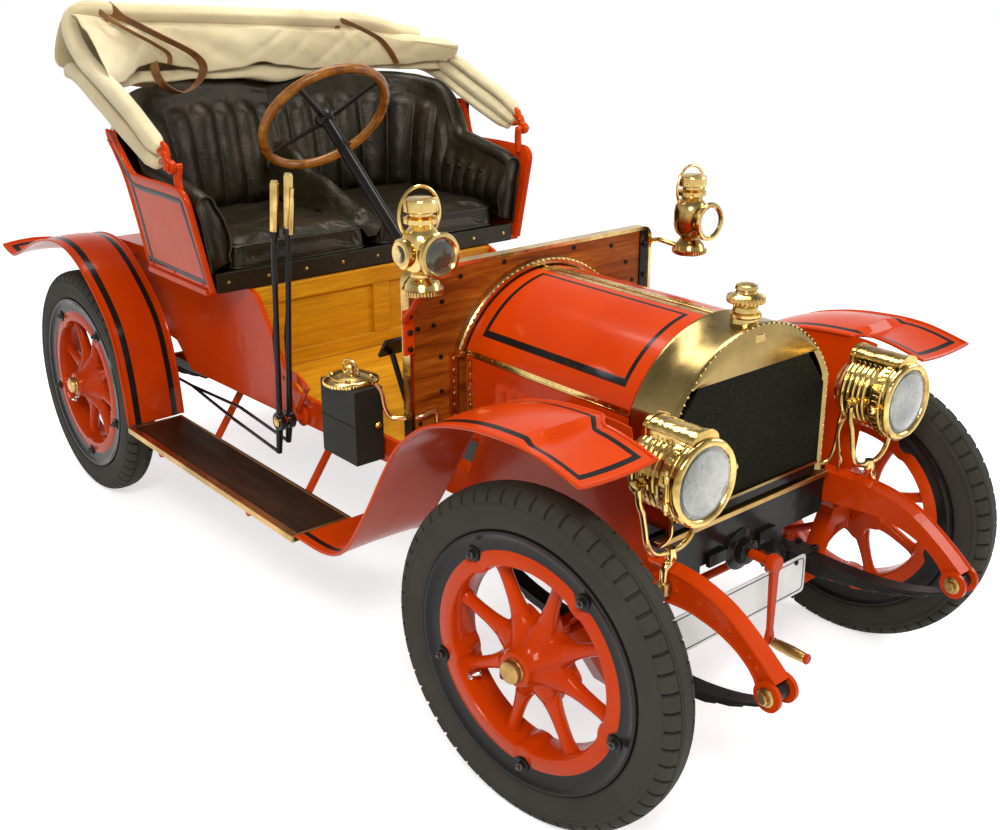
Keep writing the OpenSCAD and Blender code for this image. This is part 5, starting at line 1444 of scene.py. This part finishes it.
def hand_levers():
    y, z = -1.132, 0.170
    grips, shafts = Shape(), Shape()
    for k, lean in ((0, 0.018), (1, 0.036)):
        x = -0.486 - 0.030 * k
        knee, top = rear(x, y - 0.060 + lean, z + 0.440), rear(x, y - 0.086 + lean, z + 0.682 - 0.018 * k)
        start = knee + (top - knee) * 0.38
        shafts.add(tube([rear(x, y, z), rear(x, y - 0.03 + lean / 2, z + 0.22), knee, start
                         + (top - start) * 0.1], [0.009, 0.0075, 0.008, 0.0095], 10))
        grips.add(lathe([(0.0105, 0), (0.0125, 0.004), (0.0125, (top - start).length - 0.006),
                         (0.010, (top - start).length)], 8), at=axes(start, top - start))
        shafts.add(lathe([(0.013, -0.008), (0.013, 0.008)], 16), at=axes(start, top - start))
        shafts.add(tube([rear(x - 0.004, y - 0.010, z + 0.03),
                         rear(x - 0.004, y - 0.020 + lean / 2, z + 0.24), start
                         + Vector((-0.002, -0.016, -0.02))], 0.003, 8))
        shafts.add(lathe([(0.024, -0.008), (0.026, -0.006), (0.026, 0.006), (0.024, 0.008)], 32),
                   at=axes(rear(x, y, z), CAR_X))
        grips.add(lathe([(0.015, -0.012), (0.015, 0.012), (0.008, 0.015)], 20),
                  at=axes(rear(x, y, z), CAR_X * -1))
        trigger = [start + Vector((-0.002, -0.016, -0.006)), start + Vector((-0.002, -0.020, 0.02)),
                   top + Vector((-0.002, -0.021, -0.035))]
        if k == 0:
            grips.add(tube(trigger, [0.005, 0.0055, 0.0045], 8))
    sector = Shape()
    out, inner = arc(y, z, 0.132, 62, 128, 14), arc(y, z, 0.108, 62, 128, 14)
    sector.add(loft([[rear(x, py, pz) for py, pz in out + inner[::-1]] for x in (-0.470, -0.463)]))
    for a in (66, 124):
        sector.add(bar(rear(-0.4665, y + 0.02 * cos(radians(a)), z + 0.02 * sin(radians(a))),
                       rear(-0.4665, y + 0.12 * cos(radians(a)), z + 0.12 * sin(radians(a))), 0.007,
                       0.014, CAR_X))
    sector.add(tube([rear(-0.442, y, z), rear(-0.530, y, z)], 0.0125, 20))
    sector.add(lathe([(0.030, 0), (0.030, 0.008), (0.02, 0.014)], 28), at=axes(rear(-0.441, y, z), -CAR_X))
    o = piece("lever_quadrant", sector, mat["red"], "chassis", bevel=0.0012)
    piece("lever_shafts", shafts, mat["black"], "chassis", angle=36)
    piece("lever_grips", grips, mat["brass"], "chassis", angle=30)
    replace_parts(o, "hand_levers")
    rods = Shape()
    for x, dz in ((-0.486, -0.07), (-0.516, -0.095)):
        rods.add(tube([rear(x, y, z), rear(x, y + 0.012, z + dz)], [0.011, 0.008], 10))
        rods.add(tube([rear(x, y + 0.012, z + dz), rear(x + 0.04, y + 0.36, z + dz - 0.010),
                       rear(-0.43, -0.42, 0.060), rear(-0.425, -0.16, 0.055)], 0.0048, 8))
    piece("brake_rods", rods, mat["black"], "chassis")


hand_levers()

# ---------------------------------------------------------------- seat


def wrinkle(p, scale, seed=0.0):
    return mathutils_noise.noise(Vector((p[0] * scale + seed, p[1] * scale, p[2] * scale)))


def inflate(o, cap, voxel=0.006, pressure=4.0, floor_z=None):
    """Swells a closed pad with Blender's Cloth, holds its underside, and keeps each point within cap."""
    scene = bpy.context.scene
    again = o.modifiers.new("even", "REMESH")
    again.mode, again.voxel_size, again.use_smooth_shade = "VOXEL", voxel, True
    evened = bpy.data.meshes.new_from_object(o.evaluated_get(bpy.context.evaluated_depsgraph_get()))
    o.modifiers.clear()
    o.data = evened
    n = len(evened.vertices)
    start = np.zeros(n * 3)
    evened.vertices.foreach_get("co", start)
    start = start.reshape(-1, 3)
    held = o.vertex_groups.new(name="held")
    for i in np.nonzero(start[:, 2] < floor_z + 0.012)[0]:
        held.add([int(i)], 1.0, "REPLACE")
    sim = o.modifiers.new("pad", "CLOTH")
    s = sim.settings
    s.quality, s.mass, s.use_pressure, s.uniform_pressure_force = 5, 0.3, True, pressure
    s.tension_stiffness = s.compression_stiffness = 12
    s.shear_stiffness, s.bending_stiffness, s.vertex_group_mass = 6, 0.6, "held"
    s.effector_weights.gravity = 0
    sim.point_cache.frame_start, sim.point_cache.frame_end = 1, 20
    for f in range(1, 21):
        scene.frame_set(f)
    result = o.evaluated_get(bpy.context.evaluated_depsgraph_get()).to_mesh()
    moved = np.zeros(n * 3)
    result.vertices.foreach_get("co", moved)
    step = moved.reshape(-1, 3) - start
    far = np.linalg.norm(step, axis=1, keepdims=True) + 1e-9
    o.modifiers.clear()
    evened.vertices.foreach_set("co", (start + step * np.minimum(1, cap / far)).ravel())
    evened.update()
    scene.frame_set(1)


def cushion(name, side):
    """A boxed pad, crowned on top, with welts round its upper and lower front edges."""
    x0, x1, y0, y1, low, high = 0.020, 0.480, -0.852, -0.345, 0.520, 0.602
    w, d, corner = (x1 - x0) / 2, (y1 - y0) / 2, 0.045
    cx, cy = side * (x0 + x1) / 2, (y0 + y1) / 2

    def outline(grow, n=8):
        a, b, r = w + grow, d + grow, corner
        return (arc(a - r, b - r, r, 0, 90, n) + arc(r - a, b - r, r, 90, 180, n)
                + arc(r - a, r - b, r, 180, 270, n) + arc(a - r, r - b, r, 270, 360, n))

    rings = []
    for z, grow in ((low, -0.012), (low + 0.004, -0.003), (low + 0.020, 0.0), (high - 0.030, 0.0),
                    (high - 0.010, 0.001), (high - 0.002, -0.003), (high + 0.002, -0.012)):
        rings.append([rear(cx + x, cy + y, z) for x, y in outline(grow)])
    for k in range(1, 9):
        t = 1 - k / 9
        rings.append([rear(cx + x * t, cy + y * t, high + 0.002 + 0.016 * (1 - t**2.2))
                      for x, y in outline(-0.012)])
    o = piece("cushion_" + name, Shape().add(loft(rings)), mat["leather"], None, angle=180)
    inflate(o, 0.010, floor_z=rear(0, 0, low).z)
    for v in o.data.vertices:
        top = max(0.0, min(1.0, (v.co.z - rear(0, 0, high - 0.02).z) / 0.02))
        fold = wrinkle((v.co.x, v.co.y * 0.35, v.co.z), 16.0, 3.0 * side)
        v.co.z += top * (0.0030 * fold
                         - 0.0022 * max(0.0, 0.25 - abs(wrinkle((v.co.x * 0.6, v.co.y, 0), 9.0, 7.0))) * 4)
    o.data.polygons.foreach_set("use_smooth", [True] * len(o.data.polygons))
    s = o.modifiers.new("round", "SUBSURF")
    s.levels = s.render_levels = 1
    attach(o, "chassis")
    tree = BVHTree.FromPolygons([v.co.copy() for v in o.data.vertices],
                                [tuple(p.vertices) for p in o.data.polygons])
    welt = Shape()
    for z in (high - 0.004, low + 0.012):
        path = []
        for x, y in outline(0.012, 5):
            near = tree.find_nearest(rear(cx + x, cy + y, z))[0]
            path.append(near + Vector((0.001 * np.sign(x), 0.001 * np.sign(y), 0.001)))
        welt.add(tube(path, 0.0036, 8, loop=True))
    piece("cushion_welt_" + name, welt, mat["leather"], "chassis")
    return o


# inner foot x, y; how far the top leans out in x, y; height of the top; roll radius
CUSHION_PATH = [(0.487, -0.856, 0.034, 0.000, 0.748, 0.027),
                (0.487, -0.812, 0.038, 0.0, 0.766, 0.030),
                (0.486, -0.720, 0.042, 0.0, 0.784, 0.031),
                (0.484, -0.630, 0.045, 0.0, 0.800, 0.032),
                (0.482, -0.575, 0.048, 0.0, 0.816, 0.032),
                (0.480, -0.528, 0.052, 0.0, 0.900, 0.032),
                (0.472, -0.484, 0.054, 0.004, 0.958, 0.031),
                (0.448, -0.434, 0.056, 0.016, 0.978, 0.032),
                (0.402, -0.384, 0.044, 0.034, 0.990, 0.034),
                (0.330, -0.352, 0.024, 0.046, 0.998, 0.035),
                (0.240, -0.334, 0.004, 0.052, 1.004, 0.036),
                (0.120, -0.330, 0.0, 0.068, 0.999, 0.036),
                (0.050, -0.329, 0.0, 0.078, 0.986, 0.036), (0.0, -0.328, 0.0, 0.085, 0.976, 0.036)]


def seat_tub():
    """Arms and twin back in one upholstered wall: flutes below, a plain roll on top."""
    half = smooth(CUSHION_PATH, 22)
    control = [np.array(p) for p in half] + [np.array(p) * np.array([-1, 1, -1, 1, 1, 1])
                                             for p in half[-2::-1]]
    plan = np.array([(p[0], p[1]) for p in control])
    run = np.concatenate([[0], np.cumsum(np.linalg.norm(np.diff(plan, axis=0), axis=1))])
    total = run[-1]
    rows = []
    for i, p in enumerate(control):
        a, b = plan[max(i - 1, 0)], plan[min(i + 1, len(plan) - 1)]
        t = (b - a) / np.linalg.norm(b - a)
        out = np.array([t[1], -t[0]])
        out = out if out @ np.array([p[0], p[1] + 0.55]) > 0 else -out
        s = min(run[i], total - run[i])
        arm = 1 - min(max((s - 0.36) / 0.05, 0), 1)
        pitch = 0.058 if arm > 0.5 else 0.082
        wave = abs(sin(pi * (s - 0.36) / pitch)) ** 0.70
        fade_ends = min(s / 0.05, 1)
        low, top, r = 0.560, p[4] - p[5], p[5]
        foot, lean = Vector((p[0], p[1], 0)), Vector((p[2], p[3], 0))
        normal = Vector((out[0], out[1], 0))
        row = []
        for q in np.linspace(0, 1, 30):
            z = low + (top - low) * q
            end = (top - 0.050 - z) / 0.030 + 0.9 * (wave - 0.5)
            flute = min(max(end, 0), 1) * min(max((z - 0.60) / 0.03, 0.15), 1) * fade_ends
            depth = 0.018 * sin(pi * min(max((z - 0.58) / (top - 0.58), 0),
                                         1) ** 0.8) + (0.021 - 0.009 * arm) * wave * flute
            depth -= 0.006 * exp(-(((z - (top - 0.035)) / 0.008) ** 2)) * (1 - arm)
            place = foot + lean * q - normal * depth + Vector((0, 0, z))
            row.append(place - normal * (0.0035 * wrinkle(place, 13.0) + 0.0018 * wrinkle(place, 36.0, 5.0)))
        crest = foot + lean + normal * r
        for a in np.linspace(radians(172), radians(-10), 15):
            place = crest + normal * r * cos(a) + Vector((0, 0, top + r * sin(a)))
            row.append(place + Vector((0, 0, 0.0028 * wrinkle(place, 15.0, 2.0))))
        for q in np.linspace(0.08, 1, 10):
            row.append(crest + normal * (r - 0.004) - lean * q * 0.75
                       + Vector((0, 0, top - (top - 0.535) * q)))
        rows.append([rear(*v) for v in row])
    rings = rows
    made = loft(rings, closed=True)
    o = piece("seat_back_leather", Shape().add(made), mat["leather"], "chassis", angle=180)
    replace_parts(o, "seat_back")
    knobs = Shape()
    for s in (-1, 1):
        for row, z in enumerate((0.640, 0.700)):
            for y in np.arange(-0.800 + 0.030 * row, -0.50, 0.060):
                knobs.add(lathe([(0.0075, 0), (0.0065, 0.0025), (0.0035, 0.0042), (0.0003, 0.0046)], 12),
                          at=axes(rear(s * (0.4875 - 0.005), y, z), CAR_X * -s))
    piece("seat_buttons", knobs, mat["leather"], "chassis")
    for s, word in ((-1, "right"), (1, "left")):
        welt = Shape().add(tube([p - Vector((0, 0.002, 0))
                                 for p in (rows[0] if s == 1 else rows[-1])[::2]], 0.0036, 8))
        piece("arm_welt_" + word, welt, mat["leather"], "chassis")


def seat_hump():
    rings = []
    ys = np.linspace(-0.838, -0.335, 40)
    for y in ys:
        crest = along([(-0.838, 0.600), (-0.800, 0.640), (-0.530, 0.712), (-0.400, 0.775),
                       (-0.335, 0.800)], y)
        wide = along([(-0.838, 0.030), (-0.760, 0.050), (-0.50, 0.070), (-0.335, 0.090)], y)
        row = []
        for q in np.linspace(-1, 1, 25):
            x = q * (wide + 0.012)
            base = 0.598
            z = base + (crest - base) * exp(-((q * 1.35) ** 2)) ** 0.9
            place = Vector((x, y, z))
            row.append(rear(x, y, z + 0.0045 * wrinkle(place, 16.0, 9.0)
                            + 0.003 * wrinkle((y, x * 3, 0), 30.0)))
        row += [rear(wide * 0.5, y, 0.56), rear(-wide * 0.5, y, 0.56)]
        rings.append(row)
    o = piece("seat_divider", Shape().add(loft(rings)), mat["leather"], "chassis", angle=80)


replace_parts(cushion("right", -1), "seat_cushions")
cushion("left", 1)
seat_tub()
seat_hump()


def seat_frame():
    """The leather-covered base, the red side panels and their painted line."""
    corner = [(0.536, -0.860), (0.536, -0.500), (0.505, -0.400), (0.440, -0.300), (0.340, -0.235),
              (0.200, -0.205)]
    base = Shape().add(prism(corner + [(-x, y) for x, y in corner[::-1]], 0.474, 0.513),
                       at=Matrix.Translation(rear(0, 0, 0)))
    base.add(box((-0.536, -0.864, 0.474), (0.536, -0.848, 0.531)), at=Matrix.Translation(rear(0, 0, 0)))
    o = piece("seat_base", base, mat["leather"], "chassis", bevel=0.003)
    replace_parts(o, "seat_sides")
    pins = heads([rear(x, -0.8645, 0.503) for x in np.linspace(-0.50, 0.50, 9)], -CAR_Y, 0.0055, 0.0025, 14)
    piece("seat_base_pins", Shape().add(pins), mat["brass_dull"], "chassis")
    lean = radians(11.6)
    z_in = 0.488
    edge = ([(-0.874, 0.0), (-0.876, 0.250)] + arc(-0.834, 0.253, 0.042, 180, 90, 6)
            + smooth([(-0.700, 0.297), (-0.600, 0.297), (-0.552, 0.306), (-0.518, 0.360),
                      (-0.482, 0.414)], 6)
            + smooth([(-0.470, 0.418), (-0.474, 0.380), (-0.500, 0.300), (-0.505, 0.200),
                      (-0.490, 0.0)], 6))

    def inset(line, by):
        n, out = len(line), []
        for i in range(n):
            a, b = Vector((*line[i - 1], 0)), Vector((*line[(i + 1) % n], 0))
            t = (b - a).normalized()
            out.append((line[i][0] + t.y * by, line[i][1] - t.x * by))
        return out

    for word, s in SIDES.items():
        def at(x, y, h):
            return rear(s * (0.546 + x * cos(lean) + h * sin(lean)), y, z_in + h * cos(lean) - x * sin(lean))

        panel = Shape().add(loft([[at(x, y, h) for y, h in edge] for x in (0.0, 0.014)]))
        panel.add(tube([at(0.012, y, h) for y, h in edge[:-1]], 0.0062, 10))
        panel.add(bar(at(0.008, -0.860, -0.004), at(0.008, -0.492, -0.004), 0.016, 0.030, CAR_Z))
        post = [(s * 0.602, -0.824, 0.756), (s * 0.603, -0.822, 0.776), (s * 0.603, -0.818, 0.800),
                (s * 0.600, -0.824, 0.834)]
        panel.add(tube([rear(*p) for p in smooth(post, 5)], 0.0115, 14))
        panel.add(tube([rear(s * 0.592, -0.824, 0.834), rear(s * 0.638, -0.824, 0.834)], 0.008, 16))
        for y, h in ((-0.838, 0.020), (-0.66, 0.020), (-0.52, 0.020)):
            panel.add(heads([at(0.014, y, h)], (at(1, 0, 0) - at(0, 0, 0)), 0.006, 0.004, 12))
        piece("seat_side_" + word, panel, mat["red"], "chassis", bevel=0.002)
        line = inset(edge, 0.032)
        stripe = Shape().add(tube([at(0.0142, y, h) for y, h in line], 0.0085, 8, loop=True, flat=0.11,
                                  up=at(1, 0, 0) - at(0, 0, 0)))
        piece("seat_side_line_" + word, stripe, mat["black"], "chassis")
    half = smooth([(0.548, -0.492), (0.526, -0.430), (0.488, -0.360), (0.432, -0.292), (0.350, -0.238),
                   (0.220, -0.204), (0.0, -0.190)], 6)
    plan = half + [(-x, y) for x, y in half[-2::-1]]

    def wall(x, y, q):
        side_on = min(max((abs(x) - 0.25) / 0.27, 0), 1)
        top = 0.948 - 0.052 * side_on
        return rear(x + np.sign(x) * 0.078 * q * side_on, y + 0.022 * q * (1 - side_on), 0.480
                    + (top - 0.480) * q)

    panel = Shape().add(slab([[wall(x, y, q) for x, y in plan] for q in np.linspace(0, 1, 9)], 0.012))
    panel.add(tube([wall(x, y, 1.0) for x, y in plan], 0.0065, 8))
    piece("seat_rear_panel", panel, mat["red"], "chassis", bevel=0.002)


seat_frame()


# ---------------------------------------------------------------- folded hood


BOW = [(-0.600, 1.208), (-0.472, 1.208), (-0.271, 1.200), (-0.055, 1.189), (0.234, 1.171), (0.319, 1.168),
       (0.406, 1.153), (0.495, 1.124), (0.612, 1.104)]  # x and height of the bow roll
PANEL_LOW = [(-0.600, 1.020), (-0.541, 1.018), (-0.503, 1.034), (-0.461, 1.054), (-0.394, 1.060),
             (-0.300, 1.042), (-0.231, 1.024), (-0.121, 1.030), (-0.037, 1.046), (0.032, 1.032),
             (0.142, 1.016), (0.312, 1.011), (0.484, 1.014), (0.556, 1.028), (0.612, 1.036)]


def end_sweep(x, start=0.40):
    """0 across the middle of the hood, 1 at its ends."""
    return max(0.0, (abs(x) - start) / (0.612 - start)) ** 1.5


def hood_panel():
    """One folded length of canvas: up the front, behind the bow roll and down behind."""
    across, rows = np.linspace(-0.624, 0.612, 124), []
    for x in across:
        crown, low = along(BOW, x), along(PANEL_LOW, x)
        high = crown - low
        foot = 0.175 * end_sweep(x)
        head = (0.195 if x > 0 else 0.030) * end_sweep(x)
        tail = 1.0 - 0.090 * end_sweep(x, 0.30)
        section = [(-0.294 - foot, low), (-0.301 - foot * 0.9 - head * 0.1, low + high * 0.22),
                   (-0.304 - foot * 0.55 - head * 0.45, low + high * 0.50),
                   (-0.300 - foot * 0.2 - head * 0.8, low + high * 0.74),
                   (-0.289 - head, crown - 0.032), (-0.266 - head * 0.9, crown - 0.010),
                   (-0.240 - head * 0.7, crown - 0.002), (-0.210 - head * 0.3, crown - 0.004),
                   (-0.168, crown - 0.022), (-0.124, crown - 0.062), (-0.090, crown - 0.110),
                   (-0.082, 1.040 + 0.3 * (1 - tail)), (-0.100, 0.985 + 0.7 * (1 - tail)),
                   (-0.116, 0.962 + 0.9 * (1 - tail))]
        line = smooth(section, 5)
        row = []
        for k, (y, z) in enumerate(line):
            t = k / len(line)
            loose = 0.30 + 0.70 * sin(pi * min(t / 0.45, 1)) if t < 0.30 else 0.30
            push = loose * (0.010 * wrinkle((x, y, z * 0.6), 5.0, 1.0)
                            + 0.006 * wrinkle((x + z * 1.2, y, z), 13.0,
                                              4.0) - 0.005 * max(0.0,
                    0.20 - abs(wrinkle((x - z * 1.0, 0, z * 0.4), 7.0, 11.0))) * 5)
            row.append(rear(x, y - push if t < 0.45 else y + push * 0.7, z + push * 0.3))
        rows.append(row)
    run = [sum((b - a).length for a, b in zip(r, r[1:])) for r in rows]
    deep = sum(run) / len(run)
    uv = [(x, k * deep / (len(rows[0]) - 1)) for x in across for k in range(len(rows[0]))] * 2
    o = piece("hood_panel", Shape().add(slab(rows, 0.003), uv=uv), mat["canvas"], "hood",
              angle=180, uv=True)
    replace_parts(o, "hood_cloth")
    under = []
    for x in np.linspace(-0.575, 0.590, 92):
        sweep = 0.150 * end_sweep(x)
        dip = 0.024 * exp(-(((x - 0.03) / 0.09) ** 2))
        line = smooth([(-0.262 - sweep, 1.032), (-0.276 - sweep, 1.008), (-0.266 - sweep, 1.002 - dip),
                       (-0.215, 1.006 - dip), (-0.150, 1.016), (-0.118, 0.992)], 5)
        under.append([rear(x, y - 0.005 * wrinkle((x, y, z), 12.0, 6.0), z
                           + 0.006 * wrinkle((x, y, 0), 9.0, 2.0)) for y, z in line])
    uv = [(p.x, q * 0.2 / (len(under[0]) - 1)) for row in under for q, p in enumerate(row)] * 2
    o = piece("hood_under_fold", Shape().add(slab(under, 0.003), uv=uv), mat["canvas"], "hood",
              angle=180, uv=True)


def hood_roll(name, path, radius, flat, seed, ends=(0.60, 0.80)):
    """One padded roll of canvas along a path: radius across it, flat times as deep."""
    line = [rear(*p) for p in smooth(path, 9)]
    run = np.concatenate([[0], np.cumsum([(b - a).length for a, b in zip(line, line[1:])])])
    rings, uv, n, side = [], [], 24, CAR_X.copy()
    for k, p in enumerate(line):
        a, b = line[max(k - 1, 0)], line[min(k + 1, len(line) - 1)]
        t = (b - a).normalized()
        side = (side - t * side.dot(t)).normalized()
        other = side.cross(t)
        swell = min(ends[0] + run[k] / 0.10, 1.0, ends[1] + (run[-1] - run[k]) / 0.05)
        ring_points = []
        for j in range(n):
            w = 2 * pi * j / n
            c, d = cos(w), sin(w)
            c, d = np.sign(c) * abs(c) ** 0.85, np.sign(d) * abs(d) ** 0.85
            ripple = 0.08 * wrinkle((run[k] * 3.0, c * 0.4 + seed, d * 0.4), 4.0)
            seam = 0.12 * exp(-(((w - 2.5) / 0.20) ** 2))
            fold = 0.10 * exp(-(((w - 5.6 + 0.3 * sin(run[k] * 9)) / 0.22) ** 2))
            crease = 1 + ripple - seam - fold
            ring_points.append(p + (side * flat * c + other * d) * radius * swell * crease)
            uv.append((run[k], j * 0.007))
        rings.append(ring_points)
    o = piece("hood_roll_" + name, Shape().add(loft(rings), uv=uv), mat["canvas"], "hood",
              angle=180, uv=True)


# path from the hinge up to the bow, radius, and how much wider across the car
ROLLS = {
    "bow": ([(-0.626, -0.775, 0.874), (-0.626, -0.690, 0.917), (-0.626, -0.568, 0.980),
             (-0.626, -0.397, 1.049), (-0.625, -0.292, 1.100), (-0.622, -0.236, 1.150),
             (-0.612, -0.222, 1.192), (-0.586, -0.242, 1.215), (-0.540, -0.264, 1.216),
             (-0.472, -0.275, 1.208), (-0.271, -0.275, 1.200), (-0.055, -0.275, 1.189),
             (0.234, -0.275, 1.171), (0.319, -0.275, 1.168), (0.406, -0.277, 1.153),
             (0.495, -0.290, 1.126), (0.566, -0.325, 1.110)], 0.0255, 1.0),
    "low_right": ([(-0.624, -0.752, 0.832), (-0.624, -0.652, 0.872), (-0.624, -0.551, 0.914),
                   (-0.624, -0.460, 0.955), (-0.624, -0.367, 0.996), (-0.622, -0.284, 1.026),
                   (-0.616, -0.208, 1.040), (-0.600, -0.150, 1.036)], 0.0245, 1.05),
    "fold_right": ([(-0.604, -0.740, 0.862), (-0.602, -0.600, 0.938), (-0.602, -0.440, 1.010),
                    (-0.600, -0.330, 1.052), (-0.590, -0.250, 1.070)], 0.0150, 1.1),
    "top_left": ([(0.628, -0.792, 0.876), (0.628, -0.727, 0.922), (0.628, -0.595, 0.976),
                  (0.628, -0.500, 1.014), (0.624, -0.420, 1.046)], 0.0170, 1.2),
    "mid_left": ([(0.622, -0.780, 0.852), (0.622, -0.692, 0.893), (0.622, -0.558, 0.946),
                  (0.622, -0.450, 0.988), (0.618, -0.360, 1.020), (0.606, -0.270, 1.044)], 0.0225, 1.1),
    "low_left": ([(0.614, -0.756, 0.834), (0.612, -0.661, 0.868), (0.612, -0.530, 0.918),
                  (0.612, -0.420, 0.962), (0.606, -0.320, 0.996), (0.590, -0.240, 1.010)], 0.0165, 1.2),
}

hood_panel()
for seed, (word, (route, size, flat_by)) in enumerate(ROLLS.items()):
    hood_roll(word, route, size, flat_by, 3.0 * seed)


def strap(name, path, width, up):
    """A flat leather strap that follows path, with its width along up."""
    line = [rear(*p) for p in smooth(path, 8)]
    shape = Shape()
    rings = []
    for k, p in enumerate(line):
        a, b = line[max(k - 1, 0)], line[min(k + 1, len(line) - 1)]
        t = (b - a).normalized()
        side = (Vector(up) - t * Vector(up).dot(t)).normalized()
        n = t.cross(side)
        corners = ((-0.5, -1), (0.5, -1), (0.5, 1), (-0.5, 1))
        rings.append([p + side * width * i + n * 0.0016 * j for i, j in corners])
    shape.add(loft(rings))
    piece(name, shape, mat["strap"], "hood", bevel=0.0006, segments=1)


strap("hood_strap_wide", [(-0.520, -0.270, 1.226), (-0.500, -0.325, 1.196), (-0.405, -0.350, 1.142),
                          (-0.310, -0.358, 1.090), (-0.272, -0.352, 1.046), (-0.292, -0.345, 0.998),
                          (-0.350, -0.352, 0.972), (-0.402, -0.356, 0.994), (-0.418, -0.335, 1.030),
                          (-0.412, -0.312, 1.062)], 0.033, (0.35, -1, 0.25))
strap("hood_strap_thin", [(-0.560, -0.300, 1.214), (-0.540, -0.350, 1.186), (-0.480, -0.345, 1.152),
                          (-0.420, -0.338, 1.120), (-0.374, -0.335, 1.088), (-0.368, -0.325, 1.056)],
      0.018, (0.3, -1, 0.3))
strap("hood_strap_far", [(0.262, -0.300, 1.168), (0.300, -0.330, 1.150), (0.385, -0.338, 1.108),
                         (0.425, -0.345, 1.066), (0.452, -0.350, 1.020)], 0.024, (0.3, -1, 0.3))
for key, x_at, crown in (("near", -0.530, 1.196), ("far", 0.258, 1.166)):
    ring_path = [(x_at + 0.002 * sin(a), -0.262 + 0.0310 * cos(a), crown - 0.004 + 0.0310 * sin(a))
                 for a in np.linspace(-0.3, 2 * pi - 0.35, 16)]
    strap("hood_tie_" + key, ring_path, 0.018, (1, 0, 0))


def hood_irons():
    for word, s in SIDES.items():
        iron = Shape()
        iron.add(lathe([(0.0082, 0.0), (0.0165, 0.001), (0.019, 0.004), (0.019, 0.016), (0.0165, 0.0195),
                        (0.0082, 0.020)], 28), at=axes(rear(s * 0.6122, -0.824, 0.834), CAR_X * s))
        drop = 0.0 if s < 0 else 0.014
        elbow = [(s * 0.624, -0.816, 0.842), (s * 0.628, -0.802, 0.866), (s * 0.626, -0.784, 0.868),
                 (s * 0.625, -0.752, 0.886 - drop), (s * 0.625, -0.700, 0.912 - drop)]
        iron.add(tube([rear(*p) for p in smooth(elbow, 6)], 0.0105, 14))
        iron.add(tube([rear(s * 0.620, -0.808, 0.858), rear(s * 0.622, -0.796, 0.884),
                       rear(s * 0.623, -0.784, 0.896)], [0.008, 0.010, 0.006], 12))
        iron.add(tube([rear(s * 0.624, -0.806, 0.850), rear(s * 0.624, -0.782, 0.846),
                       rear(s * 0.624, -0.764, 0.840)], [0.008, 0.009, 0.006], 12))
        o = piece("hood_iron_" + word, iron, mat["red"], "hood", bevel=0.001)
        if word == "right":
            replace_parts(o, "hood_frame")
        tip = Shape().add(lathe([(0.012, 0), (0.012, 0.004), (0.007, 0.010)], 18),
                          at=axes(rear(s * 0.6325, -0.824, 0.834), CAR_X * s))
        piece("hood_pin_" + word, tip, mat["red"], "chassis")


hood_irons()
